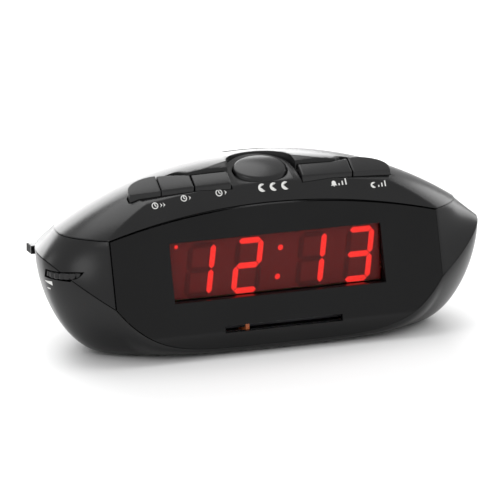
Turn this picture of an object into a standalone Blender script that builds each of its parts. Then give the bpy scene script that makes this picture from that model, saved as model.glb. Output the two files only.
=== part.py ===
"""Mains alarm clock radio in a low oval case, with a red LED display and six top keys.

The case is three shells: a bowl (lower_housing), a band that also backs the
front panel (upper_housing) and a crowned lid (top_cover). Everything is laid
out about the widest section of the case, the line through its two tips, and
one empty moves the whole clock so that its footprint is centred on the origin.
The front faces -Y, the lid faces +Z.
"""
import math

import bmesh
import bpy
from mathutils import Matrix, Vector

MM = 0.001

# ---------------------------------------------------------------- driving sizes
TIP_HALF_WIDTH = 93.4 * MM      # case half width, at the rim of the bowl
REAR_DEPTH = 68.5 * MM          # tips to the back of the rim
RIM_Z = 41.0 * MM               # height of the bowl's rim at the tips and behind
CREST_Z = 73.5 * MM             # top of the lid
CREST_Y = 8.2 * MM
BASE_Z = 0.8 * MM               # underside of the bowl; the feet stand below it
BASE_HALF_WIDTH = 69.0 * MM
BASE_FRONT = 21.0 * MM
BASE_REAR = 39.0 * MM
BOWL_SWELL = 1.75               # fullness of the bowl's side
WALL = 2.2 * MM
GAP = 0.3 * MM                  # between pieces that touch

SEAM_HALF_WIDTH = 84.6 * MM     # lid edge
SEAM_REAR = 56.0 * MM
SEAM_CENTRE_Y = 4.8 * MM
SEAM_Z = 49.2 * MM
LID_CROWN = 2.3                 # exponent of the lid's crown
LID_PLUG = 4.0 * MM             # lid's lip down inside the band
CUT_REACH = 60.0 * MM           # how far cutters run past the faces they cut

# front panel: a flat glossy plate that leans back and rolls under at its chin
PANEL_HALF_WIDTH = 70.0 * MM
PANEL_FOOT_Z = 3.4 * MM
PANEL_FOOT_Y = -27.85 * MM
PANEL_LEAN = 0.29               # run per rise
PANEL_KNEE_Z = 22.8 * MM        # lower corners
PANEL_ARC_Z = 57.8 * MM         # top of the arched upper edge
PANEL_KNEE_POWER = 4.8          # how late the lower edge turns up
PANEL_THICK = 2.0 * MM
PANEL_PROUD = 0.55 * MM         # panel face ahead of the band
LID_SETBACK = 1.5 * MM          # lid edge behind the band, at the centre
CHIN_Z = 12.8 * MM
CHIN_SETBACK = 3.0 * MM

# display and tuning scale
WINDOW_HALF_WIDTH = 45.2 * MM
WINDOW_LOW_Z = 23.1 * MM
WINDOW_HIGH_Z = 46.2 * MM
FILTER_THICK = 1.2 * MM
FILTER_TOP_SETBACK = 1.0 * MM   # filter face behind the panel face, top and bottom
FILTER_FOOT_SETBACK = 4.2 * MM
DISPLAY_THICK = 8.0 * MM
DISPLAY_BOARD_EDGE = 3.0 * MM
BOARD_THICK = 1.6 * MM
SLOT_HALF_WIDTH = 25.1 * MM
SLOT_Z = 11.4 * MM
SLOT_HEIGHT = 2.7 * MM
POINTER_X = -14.7 * MM
POINTER_WIDTH = 1.5 * MM
POINTER_DEPTH = 1.0 * MM
POINTER_HEIGHT = 5.0 * MM
POINTER_FOOT = 2.6 * MM         # carriage below the rail's axis
POINTER_ARM = 1.4 * MM
SCALE_EDGE = 3.0 * MM           # scale strip past the slot

# key tray and keys
TRAY_Z = 64.8 * MM              # tray floor at its front edge, on the centre line
TRAY_Y = -6.5 * MM
TRAY_SLOPE = 0.40
TRAY_SAG = 4.0 * MM             # drop of floor and keys at TRAY_HALF_WIDTH
TRAY_HALF_WIDTH = 61.0 * MM
TRAY_FLOOR = 2.2 * MM
TRAY_CLEAR = 1.0 * MM           # floor behind the small keys
TRAY_LEAF_X = 36.0 * MM         # where the tray's rear rim starts to close
TRAY_LEAF_DEPTH = 8.0 * MM
TRAY_STEP = 5.0 * MM            # length over which the rim moves out to the leaf
BAY_SIDE = 2.9 * MM             # tray round the snooze key
BAY_REAR = 3.4 * MM
KEY_BOW = 3.0 * MM              # how far the row of keys bows back at its ends
KEY_SPREAD = 1.3 * MM           # outer keys deeper by this
KEY_SPREAD_X = 30.0 * MM
KEY_SPREAD_RUN = 12.0 * MM
LEAF_TIP = 0.22                 # depth left at a leaf's tip
KEY_RISE = 1.5 * MM             # key front edge above the tray floor
KEY_SLOPE = 0.664
KEY_DEPTH = 5.5 * MM
KEY_GAP = 0.4 * MM
KEY_TRAVEL = 0.8 * MM
KEY_FLANGE = 1.1 * MM
KEY_REACH = 3.2 * MM            # key below the underside of the tray floor
KEY_EDGE = 0.4 * MM
SNOOZE_HALF_WIDTH = 11.35 * MM
SNOOZE_HALF_DEPTH = 7.2 * MM
SNOOZE_Y = 1.8 * MM
SNOOZE_Z = 69.45 * MM
SNOOZE_SLOPE = 0.427
SNOOZE_DOME = 1.2 * MM
KEY_BOARD_Z = 53.0 * MM

# thumbwheels and slide switch
WHEEL_RADIUS = 10.0 * MM
WHEEL_THICK = 2.6 * MM
WHEEL_RIBS = 24
WHEEL_RIB_DEPTH = 0.5 * MM
WHEEL_Z = 34.4 * MM
WHEEL_CLEAR = 0.5 * MM
VOLUME_X = -82.3 * MM
VOLUME_Y = -3.0 * MM
TUNING_X = 82.4 * MM
TUNING_Y = 13.0 * MM
SHAFT_RADIUS = 2.0 * MM
SHAFT_CLEAR = 0.3 * MM
SWITCH_Y = 28.0 * MM
SWITCH_Z = 37.6 * MM
SWITCH_TRAVEL = 4.0 * MM
SWITCH_KNOB = (14.0 * MM, 6.0 * MM, 3.4 * MM)
SWITCH_TIP_X = -89.2 * MM
SWITCH_BODY = (5.0 * MM, 15.0 * MM, 4.0 * MM)

# under the clock
FOOT_RADIUS = 5.0 * MM
FOOT_HEIGHT = 1.4 * MM
FOOT_X = 44.0 * MM
FOOT_REAR_Y = 20.0 * MM
FOOT_FRONT_Y = -9.0 * MM
DOOR_LENGTH = 56.0 * MM
DOOR_WIDTH = 31.0 * MM
DOOR_THICK = 1.8 * MM
DOOR_Y = 9.5 * MM               # middle of the door
BATTERY_LENGTH = 48.5 * MM
BATTERY_WIDTH = 26.5 * MM
BATTERY_THICK = 17.5 * MM
BATTERY_CLEAR = 0.6 * MM
BATTERY_WALL = 1.4 * MM
BATTERY_EDGE = 1.5 * MM
CLIP_LENGTH = 3.0 * MM
SCREW_PLACES = (                # half spacing in X, and Y
    (63.0 * MM, -2.0 * MM),
    (36.0 * MM, 30.0 * MM),
)
SCREW_RADIUS = 1.5 * MM
SCREW_LENGTH = 42.0 * MM
SCREW_HEAD_RADIUS = 3.0 * MM
SCREW_HEAD = 1.2 * MM
SCREW_SINK = 1.6 * MM
POST_RADIUS = 4.5 * MM
POST_TOP_Z = 37.0 * MM
PILOT_DEPTH = 4.0 * MM          # lid's screw hole past the screw's tip
DRIVE_SLOT = (0.8 * MM, 4.0 * MM, 1.0 * MM)

# speaker behind the lid's rear slope
SPEAKER_RADIUS = 19.0 * MM
SPEAKER_DEPTH = 14.0 * MM
SPEAKER_Y = 31.0 * MM
SPEAKER_Z = 60.5 * MM
SPEAKER_TILT = math.radians(-26)
SPEAKER_RIM = 2.0 * MM
SPEAKER_THROAT = 0.45           # basket's back, cone's front and cone's back
SPEAKER_FRONT = 0.88            # as shares of the speaker's radius
SPEAKER_CONE = 0.35
CONE_DEPTH = 0.6                # share of the basket's depth
MAGNET_RADIUS = 10.0 * MM
MAGNET_THICK = 6.0 * MM
GRILLE_RADIUS = 17.5 * MM
GRILLE_PITCH = 5.0 * MM
GRILLE_SLOT = 2.2 * MM
GRILLE_SHIFT = 2.0 * MM
GRILLE_ROWS = 3                 # on each side of the middle slot

# boards and what they carry
MAIN_BOARD = (80.0 * MM, 29.0 * MM)
MAIN_BOARD_CLEAR = 1.0 * MM     # over the battery box
MAIN_BOARD_X = 18.0 * MM
CONTROL_BOARD_Z = 26.0 * MM
CONTROL_BOARD = (16.6 * MM, 18.0 * MM)
CONTROL_BODY = 6.6 * MM
CONTROL_BOARD_SHIFT = 5.2 * MM
CONTROL_POST_X = 71.0 * MM
CONTROL_POST_Y = 6.0 * MM
CONTROL_POST_RADIUS = 3.0 * MM
VOLUME_BOARD_Y = 3.0 * MM
TUNING_BOARD_Y = 9.0 * MM
KEY_BOARD_LENGTH = 114.0 * MM
KEY_BOARD_WIDTH = 13.0 * MM
KEY_SWITCH = 6.0 * MM
TRANSFORMER_X = -44.0 * MM
TRANSFORMER_Y = 10.0 * MM
CORE = (26.0 * MM, 14.0 * MM, 28.0 * MM)
WINDING = (15.0 * MM, 24.0 * MM, 16.0 * MM)
ROD_RADIUS = 4.0 * MM
ROD_LENGTH = 70.0 * MM
ROD_Y = 52.0 * MM
ROD_Z = 40.0 * MM
COIL_RADIUS = 6.0 * MM
COIL_LENGTH = 14.0 * MM
COIL_X = 20.0 * MM
INLET = (21.0 * MM, 16.0 * MM, 12.0 * MM)
INLET_X = -14.0 * MM
INLET_Z = 19.0 * MM
INLET_FACE_Y = 60.0 * MM
INLET_MOUTH = (15.0 * MM, 10.0 * MM, 7.5 * MM)
PIN_RADIUS = 1.2 * MM
PIN_PITCH = 8.6 * MM
RAIL_RADIUS = 1.0 * MM
CARRIAGE_HALF = 2.5 * MM
RAIL_Y = -16.5 * MM
RAIL_HALF_LENGTH = 34.0 * MM
RAIL_DROP = 4.2 * MM            # rail below the middle of the tuning slot
RAIL_HOLDER = (3.0 * MM, 5.0 * MM, 1.5 * MM)    # length, depth, and rise over the rail

# mesh fineness
FRONT_STEPS = 20
AROUND_STEPS = 40
ROUND_STEPS = 24
TRAY_STEPS = 45
ELLIPSE_STEPS = 36
KEY_STEPS = 8
FLANK_HALVINGS = 20
PANEL_ROWS = (0.0, 0.04, 0.08, 0.12, 0.17, 0.5, 1.0)
BOWL_ROWS = (1.0, 0.8, 0.6, 0.42, 0.27, 0.15, 0.06, 0.0)
LID_ROWS = (1.0, 0.95, 0.88, 0.8, 0.7, 0.58, 0.45, 0.3, 0.15)


# ------------------------------------------------------------------ case shape
def swell(share, power):
    """Rises from 0 to 1, steeply at first, level at the end."""
    return (1 - (1 - share) ** power) ** (1 / power)


def panel_y(z):
    """Front face of the panel at height z: a leaning plane whose chin rolls back."""
    roll = max(0.0, (CHIN_Z - z) / (CHIN_Z - PANEL_FOOT_Z))
    return PANEL_FOOT_Y + PANEL_LEAN * (z - PANEL_FOOT_Z) + CHIN_SETBACK * roll ** 2


def panel_low_z(share):
    """Lower edge of the panel, share running from -1 to 1 across it."""
    return PANEL_FOOT_Z + (PANEL_KNEE_Z - PANEL_FOOT_Z) * abs(share) ** PANEL_KNEE_POWER


def panel_high_z(share):
    """Arched upper edge of the panel."""
    return PANEL_ARC_Z - (PANEL_ARC_Z - SEAM_Z) * share ** 2


def front_shares():
    return [2 * i / FRONT_STEPS - 1 for i in range(FRONT_STEPS + 1)]


def around_angles(half_width):
    """Angles from the panel's right corner round the back to its left corner."""
    corner = math.acos(PANEL_HALF_WIDTH / half_width)
    step = (math.pi + 2 * corner) / AROUND_STEPS
    return [step * i - corner for i in range(AROUND_STEPS + 1)], corner


def rim_ring(inset, lift=0.0, setback=None):
    """Edge between bowl and band. setback moves the stretch under the panel back."""
    angles, corner = around_angles(TIP_HALF_WIDTH)
    corner_y = panel_y(PANEL_KNEE_Z) + PANEL_PROUD
    front_depth = -corner_y / math.sin(corner)
    front = []
    for share in front_shares():
        z = panel_low_z(share)
        y = panel_y(z) + (PANEL_PROUD if setback is None else setback) + inset
        reach = PANEL_HALF_WIDTH if setback is None else PANEL_HALF_WIDTH - inset
        front.append(Vector((share * reach, y, z + lift)))
    around = []
    for angle in angles:
        depth = front_depth if angle < 0 or angle > math.pi else REAR_DEPTH
        fall = min(0.0, math.sin(angle)) / math.sin(corner)
        z = RIM_Z - (RIM_Z - PANEL_KNEE_Z) * fall ** 2
        x = (TIP_HALF_WIDTH - inset) * math.cos(angle)
        around.append(Vector((x, (depth - inset) * math.sin(angle), z + lift)))
    return join_corners(front, around, setback is not None)


def seam_ring(inset, lift=0.0, setback=None):
    """Edge between band and lid."""
    angles, corner = around_angles(SEAM_HALF_WIDTH)
    corner_y = panel_y(SEAM_Z) + PANEL_PROUD
    front_depth = (SEAM_CENTRE_Y - corner_y) / math.sin(corner)
    front = []
    for share in front_shares():
        z = panel_high_z(share)
        back = PANEL_PROUD + LID_SETBACK * (1 - share ** 2) if setback is None else setback
        reach = PANEL_HALF_WIDTH if setback is None else PANEL_HALF_WIDTH - inset
        front.append(Vector((share * reach, panel_y(z) + back + inset, z + lift)))
    around = []
    for angle in angles:
        depth = front_depth if angle < 0 or angle > math.pi else SEAM_REAR - SEAM_CENTRE_Y
        x = (SEAM_HALF_WIDTH - inset) * math.cos(angle)
        y = SEAM_CENTRE_Y + (depth - inset) * math.sin(angle)
        around.append(Vector((x, y, SEAM_Z + lift)))
    return join_corners(front, around, setback is not None)


def join_corners(front, around, stepped):
    """One closed ring. A stepped ring keeps both points of each panel corner."""
    return front + around if stepped else front + around[1:-1]


def blend(low, high, share):
    return [a.lerp(b, share) for a, b in zip(low, high)]


def bowl_rings(inset, floor_z):
    """Rings of the bowl, from its rim down to its flat floor."""
    rim = rim_ring(inset)
    rings = []
    for row in BOWL_ROWS:
        ring = []
        for point in rim:
            across = max(-1.0, min(1.0, point.x / (TIP_HALF_WIDTH - inset)))
            along = math.sqrt(1 - across ** 2)
            base_y = (BASE_REAR - inset) * along if point.y > 0 else -(BASE_FRONT - inset) * along
            base = Vector(((BASE_HALF_WIDTH - inset) * across, base_y, floor_z))
            place = base.lerp(point, swell(row, BOWL_SWELL))
            place.z = floor_z + (point.z - floor_z) * row
            ring.append(place)
        rings.append(ring)
    return rings


def flank_z(x, y, inset):
    """Height of the bowl's surface, inset from its outside, over a point behind its tips."""
    low, high = 0.0, 1.0
    for _ in range(FLANK_HALVINGS):
        reach = (low + high) / 2
        half = BASE_HALF_WIDTH + (TIP_HALF_WIDTH - BASE_HALF_WIDTH) * reach - inset
        rear = BASE_REAR + (REAR_DEPTH - BASE_REAR) * reach - inset
        if (x / half) ** 2 + (y / rear) ** 2 > 1:
            low = reach
        else:
            high = reach
    row = 1 - (1 - low ** BOWL_SWELL) ** (1 / BOWL_SWELL)
    floor = BASE_Z + inset
    return floor + (RIM_Z - floor) * row


def lid_rings(inset):
    """Rings of the lid, from its edge up towards its crest."""
    crest = Vector((0, CREST_Y, CREST_Z - inset))
    rings = []
    for reach in LID_ROWS:
        ring = []
        for edge in seam_ring(inset, GAP / 2):
            place = crest.lerp(edge, reach)
            place.z = edge.z + (crest.z - edge.z) * (1 - reach ** LID_CROWN)
            ring.append(place)
        rings.append(ring)
    return rings, crest


def front_edge_y():
    """The farthest forward that the panel's chin reaches."""
    heights = [PANEL_FOOT_Z + row * (PANEL_ARC_Z - PANEL_FOOT_Z) for row in PANEL_ROWS]
    return min(panel_y(z) for z in heights)


# --------------------------------------------------------------------- helpers
def start():
    for old in list(bpy.data.objects):
        bpy.data.objects.remove(old)
    clock = bpy.data.objects.new("alarm_clock", None)
    bpy.context.collection.objects.link(clock)
    clock.location = (0, -(REAR_DEPTH + front_edge_y()) / 2, 0)
    return clock


def finish(name, color, roughness, metallic=0.0):
    material = bpy.data.materials.new(name)
    material.use_nodes = True
    shader = material.node_tree.nodes["Principled BSDF"]
    shader.inputs["Base Color"].default_value = (*color, 1)
    shader.inputs["Roughness"].default_value = roughness
    shader.inputs["Metallic"].default_value = metallic
    return material


def add(name, bm, material, parent, smooth=True):
    """Turns a bmesh into a named object and returns it."""
    bmesh.ops.recalc_face_normals(bm, faces=bm.faces)
    mesh = bpy.data.meshes.new(name)
    bm.to_mesh(mesh)
    bm.free()
    if smooth:
        mesh.shade_smooth()
        mesh.set_sharp_from_angle(angle=math.radians(35))
    obj = bpy.data.objects.new(name, mesh)
    bpy.context.collection.objects.link(obj)
    obj.parent = parent
    if material:
        mesh.materials.append(material)
    else:
        obj.hide_render = True
        obj.display_type = "WIRE"
    return obj


def cut(obj, cutter, operation="DIFFERENCE"):
    step = obj.modifiers.new(cutter.name, "BOOLEAN")
    step.operation = operation
    step.object = cutter


def skin(bm, rings, wrap=False):
    """Joins each ring of points to the next with quads."""
    loops = [[bm.verts.new(point) for point in ring] for ring in rings]
    for low, high in zip(loops, loops[1:] + loops[:1] if wrap else loops[1:]):
        for i in range(len(low)):
            j = (i + 1) % len(low)
            bm.faces.new((low[i], low[j], high[j], high[i]))
    return loops


def fan(bm, loop, tip):
    top = bm.verts.new(tip)
    for i in range(len(loop)):
        bm.faces.new((loop[i], loop[(i + 1) % len(loop)], top))


def loft(rings, tip=None):
    """A closed body through rings; its last end is flat, or a fan to a tip."""
    bm = bmesh.new()
    loops = skin(bm, rings)
    bm.faces.new(loops[0])
    if tip is None:
        bm.faces.new(loops[-1])
    else:
        fan(bm, loops[-1], tip)
    return bm


def box(size, centre, turn=None):
    bm = bmesh.new()
    bmesh.ops.create_cube(bm, size=1)
    bmesh.ops.scale(bm, vec=size, verts=bm.verts)
    if turn is not None:
        bmesh.ops.transform(bm, matrix=turn, verts=bm.verts)
    bmesh.ops.translate(bm, vec=centre, verts=bm.verts)
    return bm


def drum(radius, height, centre, steps=ROUND_STEPS, turn=None):
    bm = bmesh.new()
    bmesh.ops.create_cone(bm, cap_ends=True, segments=steps, radius1=radius, radius2=radius, depth=height)
    if turn is not None:
        bmesh.ops.transform(bm, matrix=turn, verts=bm.verts)
    bmesh.ops.translate(bm, vec=centre, verts=bm.verts)
    return bm


def soften(obj, width, segments=2):
    edge = obj.modifiers.new("rounded edges", "BEVEL")
    edge.width = width
    edge.segments = segments
    edge.limit_method = "ANGLE"
    edge.angle_limit = math.radians(40)
    return obj


# ------------------------------------------------------------------- the shells
def lower_housing(clock, black, cutters):
    outer = bowl_rings(0, BASE_Z)
    inner = bowl_rings(WALL, BASE_Z + WALL)
    bm = bmesh.new()
    loops = skin(bm, list(reversed(outer)) + inner)
    bm.faces.new(loops[0])
    bm.faces.new(loops[-1])
    shell = add("lower_housing", bm, black, clock)
    posts = [(x, y, BASE_Z + WALL / 2, POST_TOP_Z, POST_RADIUS) for x, y in screw_places()]
    for side in (-1, 1):
        place = (side * CONTROL_POST_X, CONTROL_POST_Y)
        posts.append((*place, flank_z(*place, WALL), CONTROL_BOARD_Z - GAP, CONTROL_POST_RADIUS))
    for x, y, low, high, radius in posts:
        post = add("post", drum(radius, high - low, (x, y, (low + high) / 2), 16), None, clock)
        cut(shell, post, "UNION")
    for side in (-1, 1):
        cut(shell, add("rail_holder", rail_holder(side), None, clock), "UNION")
    cut(shell, add("rail_bore", rail_body(RAIL_RADIUS + GAP, RAIL_HALF_LENGTH + GAP), None, clock))
    for x, y in screw_places():
        hole = drum(SCREW_RADIUS + GAP, 2 * POST_TOP_Z, (x, y, POST_TOP_Z), 16)
        cut(shell, add("screw_hole", hole, None, clock))
        sink = drum(SCREW_HEAD_RADIUS + GAP, 2 * SCREW_SINK, (x, y, BASE_Z), 16)
        cut(shell, add("head_hole", sink, None, clock))
    for cutter in cutters:
        cut(shell, cutter)
    return shell


def band_rings(setback, inset):
    """Rings of the band from rim to seam; setback places its seat behind the panel."""
    low = rim_ring(inset, GAP, setback)
    high = seam_ring(inset, -GAP / 2, setback)
    rings = [blend(low, high, row) for row in PANEL_ROWS]
    for ring in rings:
        for point in ring[:FRONT_STEPS + 1]:
            point.y = panel_y(point.z) + setback + inset
    return rings


def upper_housing(clock, black, cutters):
    setback = PANEL_THICK + GAP
    outer = band_rings(setback, 0)
    inner = band_rings(setback, WALL)
    bm = bmesh.new()
    skin(bm, outer + list(reversed(inner)), wrap=True)
    shell = add("upper_housing", bm, black, clock)
    for cutter in cutters:
        cut(shell, cutter)
    return shell


def top_cover(clock, black, cutters):
    rings, crest = lid_rings(0)
    brim = seam_ring(WALL + GAP, GAP / 2)
    plug = [Vector((p.x, p.y, SEAM_Z - LID_PLUG)) for p in brim]
    shell = add("top_cover", loft([plug, brim] + rings, crest), black, clock)
    rings, crest = lid_rings(WALL)
    skirt = [Vector((p.x, p.y, SEAM_Z - 2 * LID_PLUG)) for p in rings[0]]
    hollow = add("lid_hollow", loft([skirt] + rings, crest), None, clock)
    cut(hollow, add("tray_pad", tray_block(WALL, -TRAY_FLOOR), None, clock))
    for x, y in screw_places():
        low = POST_TOP_Z + GAP
        post = drum(POST_RADIUS, CREST_Z - low, (x, y, (CREST_Z + low) / 2), 16)
        cut(hollow, add("lid_post", post, None, clock))
    cut(shell, hollow)
    cut(shell, add("tray_cut", tray_block(0, 0), None, clock))
    top = BASE_Z + SCREW_LENGTH + PILOT_DEPTH
    for x, y in screw_places():
        pilot = drum(SCREW_RADIUS + GAP, 2 * (top - POST_TOP_Z), (x, y, POST_TOP_Z), 16)
        cut(shell, add("lid_pilot", pilot, None, clock))
    for cutter in cutters:
        cut(shell, cutter)
    return shell


def front_panel(clock, gloss, cutters):
    """Glossy plate in the band's front recess."""
    front, back = [], []
    for row in PANEL_ROWS:
        for ring, depth in ((front, 0), (back, PANEL_THICK)):
            line = []
            for share in front_shares():
                low = panel_low_z(share) + GAP
                high = panel_high_z(share) - GAP
                z = low + (high - low) * row
                line.append(Vector((share * (PANEL_HALF_WIDTH - GAP), panel_y(z) + depth, z)))
            ring.append(line)
    bm = bmesh.new()
    grids = [[[bm.verts.new(p) for p in line] for line in ring] for ring in (front, back)]
    for grid in grids:
        for low, high in zip(grid, grid[1:]):
            for i in range(FRONT_STEPS):
                bm.faces.new((low[i], low[i + 1], high[i + 1], high[i]))
    edges = []
    for grid in grids:
        sides = [line[-1] for line in grid[1:-1]], [line[0] for line in reversed(grid[1:-1])]
        edges.append(grid[0] + sides[0] + list(reversed(grid[-1])) + sides[1])
    for i in range(len(edges[0])):
        j = (i + 1) % len(edges[0])
        bm.faces.new((edges[0][i], edges[0][j], edges[1][j], edges[1][i]))
    panel = add("front_panel", bm, gloss, clock)
    for cutter in cutters:
        cut(panel, cutter)
    return panel


def screw_places():
    return [(side * x, y) for side in (-1, 1) for x, y in SCREW_PLACES]


# -------------------------------------------------------------- keys and tray
def tray_sag(x):
    return TRAY_SAG * (x / TRAY_HALF_WIDTH) ** 2


def tray_floor_z(x, y):
    return TRAY_Z + TRAY_SLOPE * (y - TRAY_Y) - tray_sag(x)


def key_front_y(x):
    return TRAY_Y + KEY_BOW * (x / TRAY_HALF_WIDTH) ** 2


def key_face_z(x, y):
    return TRAY_Z + KEY_RISE + KEY_SLOPE * (y - TRAY_Y) - tray_sag(x)


def tray_rear_y(x):
    """Rear rim of the tray: round the snooze key, then behind the small keys."""
    x = abs(x)
    bay = SNOOZE_HALF_WIDTH + BAY_SIDE
    inner_y = key_front_y(x) + KEY_DEPTH + TRAY_CLEAR
    if x < bay:
        arch = SNOOZE_Y + (SNOOZE_HALF_DEPTH + BAY_REAR) * math.sqrt(1 - (x / bay) ** 2)
        return max(arch, inner_y)
    step = min(1.0, max(0.0, (x - TRAY_LEAF_X) / TRAY_STEP + 1))
    closing = max(0.0, x - TRAY_LEAF_X) / (TRAY_HALF_WIDTH - TRAY_LEAF_X)
    leaf = math.sqrt(max(0.0, 1 - closing ** 2))
    smooth = step * step * (3 - 2 * step)
    outer_y = key_front_y(TRAY_HALF_WIDTH) - KEY_GAP + TRAY_LEAF_DEPTH * leaf
    return inner_y + (outer_y - inner_y) * smooth


def tray_block(margin, drop):
    """Block over the tray floor, grown by margin and dropped by drop."""
    slices = []
    for i in range(TRAY_STEPS + 1):
        x = TRAY_HALF_WIDTH * (2 * i / TRAY_STEPS - 1)
        front = TRAY_Y - SNOOZE_HALF_WIDTH
        rear = tray_rear_y(x) + margin
        reach = x * (1 + margin / TRAY_HALF_WIDTH)
        low = [Vector((reach, y, tray_floor_z(x, y) + drop)) for y in (front, rear)]
        high = [Vector((reach, y, CREST_Z + CUT_REACH)) for y in (rear, front)]
        slices.append(low + high)
    return loft(slices)


def small_keys():
    """Name, inner end, outer end and whether the outer end is a pointed leaf."""
    return [
        ("time_key", -15.2 * MM, -30.4 * MM, False),
        ("minute_key", -30.8 * MM, -44.4 * MM, False),
        ("hour_key", -44.8 * MM, -57.6 * MM, True),
        ("alarm_key", 15.2 * MM, 37.2 * MM, False),
        ("sleep_key", 37.6 * MM, 54.0 * MM, True),
    ]


def key_outline(inner, outer, leaf, grow):
    """Plan outline of a small key, as a front row and a rear row of points."""
    side = math.copysign(1, outer)
    rows = []
    for i in range(KEY_STEPS + 1):
        share = i / KEY_STEPS
        if leaf:
            share = math.sin(share * math.pi / 2)
        x = inner + (outer - inner) * share
        spread = min(1.0, max(0.0, (abs(x) - KEY_SPREAD_X) / KEY_SPREAD_RUN))
        depth = KEY_DEPTH + KEY_SPREAD * spread
        if leaf:
            depth *= LEAF_TIP + (1 - LEAF_TIP) * math.sqrt(max(0.0, 1 - share ** 2))
        x += side * grow * (2 * share - 1)
        rows.append((x, key_front_y(x) - grow, key_front_y(x) + depth + grow))
    return rows


def key_body(rows, base_z, top=None, flange=0.0):
    """Upright body on a key outline, flat or sloped on top, with a flange behind its foot."""
    slices = []
    for x, front, rear in rows:
        front_z, rear_z = [top(x, y) if callable(top) else top for y in (front, rear)]
        outline = [(front, base_z), (rear + flange, base_z)]
        if flange:
            outline += [(rear + flange, base_z + flange), (rear, base_z + flange)]
        outline += [(rear, rear_z), (front, front_z)]
        slices.append([Vector((x, y, z)) for y, z in outline])
    return loft(slices)


def ellipse(grow, z, scale=1.0, slope=0.0):
    ring = []
    for i in range(ELLIPSE_STEPS):
        angle = 2 * math.pi * i / ELLIPSE_STEPS
        x = (SNOOZE_HALF_WIDTH + grow) * math.cos(angle) * scale
        y = (SNOOZE_HALF_DEPTH + grow) * math.sin(angle) * scale
        ring.append(Vector((x, SNOOZE_Y + y, z + slope * y)))
    return ring


def key_foot_z(x, y):
    """Underside of the tray floor at a key, where its flange stops."""
    return tray_floor_z(x, y) - TRAY_FLOOR


def snooze_key(clock, black):
    base = key_base_z("snooze_key", 0)
    side = [ellipse(0, base, 1.0), ellipse(0, SNOOZE_Z - KEY_EDGE, 1.0, SNOOZE_SLOPE)]
    dome = []
    for scale in (0.96, 0.8, 0.55, 0.28):
        dome.append(ellipse(0, SNOOZE_Z + SNOOZE_DOME * (1 - scale ** 2), scale, SNOOZE_SLOPE))
    tip = Vector((0, SNOOZE_Y, SNOOZE_Z + SNOOZE_DOME))
    return add("snooze_key", loft(side + dome, tip), black, clock)


def key_base_z(name, outer):
    """Underside of a key."""
    if name == "snooze_key":
        return key_foot_z(0, SNOOZE_Y - SNOOZE_HALF_DEPTH) - KEY_REACH
    return key_foot_z(outer, key_front_y(outer)) - KEY_REACH


def keys_and_holes(clock, black):
    """The six keys, and the cutters for their holes in the tray floor."""
    holes = []
    for name, inner, outer, leaf in small_keys():
        rows = key_outline(inner, outer, leaf, 0)
        base = key_base_z(name, outer)
        key = add(name, key_body(rows, base, key_face_z, KEY_FLANGE), black, clock)
        soften(key, KEY_EDGE)
        wide = key_outline(inner, outer, leaf, KEY_GAP)
        low = base + KEY_FLANGE + KEY_GAP
        holes.append(add(name + "_hole", key_body(wide, low, CREST_Z), None, clock))
    snooze_key(clock, black)
    low = ellipse(KEY_GAP, KEY_BOARD_Z)
    high = ellipse(KEY_GAP, CREST_Z + WALL)
    holes.append(add("snooze_hole", loft([low, high]), None, clock))
    return holes


def key_switches(clock, body, board):
    """Six switches on one board, each a key's travel below its key."""
    length, width = KEY_BOARD_LENGTH, KEY_BOARD_WIDTH
    board_y = TRAY_Y + width / 2
    add("key_board", box((length, width, BOARD_THICK), (0, board_y, KEY_BOARD_Z)), board, clock, False)
    places = [("snooze_key", 0, SNOOZE_Y)]
    places += [(name, (inner + outer) / 2, key_front_y(outer) + KEY_DEPTH / 2)
               for name, inner, outer, leaf in small_keys()]
    for name, x, y in places:
        low = KEY_BOARD_Z + BOARD_THICK / 2 + GAP
        outer = {key[0]: key[2] for key in small_keys()}.get(name)
        high = key_base_z(name, outer) - KEY_TRAVEL - GAP
        switch = box((KEY_SWITCH, KEY_SWITCH, high - low), (x, y, (low + high) / 2))
        add(name.replace("key", "switch"), switch, body, clock, False)


# ------------------------------------------------------- display and tuning scale
def front_openings(clock):
    """Cutters through the panel, and wider ones through the band's seat behind it."""
    middle_z = (WINDOW_LOW_Z + WINDOW_HIGH_Z) / 2
    middle_y = panel_y(middle_z)
    deep = CUT_REACH / 2
    window = (2 * WINDOW_HALF_WIDTH, deep, WINDOW_HIGH_Z - WINDOW_LOW_Z)
    slot = (2 * SLOT_HALF_WIDTH, deep, SLOT_HEIGHT)
    panel = [
        add("window_cut", box(window, (0, middle_y, middle_z)), None, clock),
        add("slot_cut", box(slot, (0, panel_y(SLOT_Z), SLOT_Z)), None, clock),
    ]
    wide = (window[0] + 2 * GAP, deep, window[2] + 2 * GAP)
    reach = 2 * (SLOT_HALF_WIDTH + POINTER_WIDTH)
    slot_low = SLOT_Z - RAIL_DROP - POINTER_FOOT
    slot_high = SLOT_Z + POINTER_HEIGHT / 2 + 2 * GAP
    slot_size = (reach, deep / 2, slot_high - slot_low)
    slot_centre = (0, panel_y(SLOT_Z), (slot_low + slot_high) / 2)
    seat = [
        add("seat_window_cut", box(wide, (0, middle_y, middle_z)), None, clock),
        add("seat_slot_cut", box(slot_size, slot_centre), None, clock),
    ]
    return panel, seat


def filter_y(z):
    """Front face of the leaning display filter at height z."""
    low_y = panel_y(WINDOW_LOW_Z) + FILTER_FOOT_SETBACK
    high_y = panel_y(WINDOW_HIGH_Z) + FILTER_TOP_SETBACK
    return low_y + (high_y - low_y) * (z - WINDOW_LOW_Z) / (WINDOW_HIGH_Z - WINDOW_LOW_Z)


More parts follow.
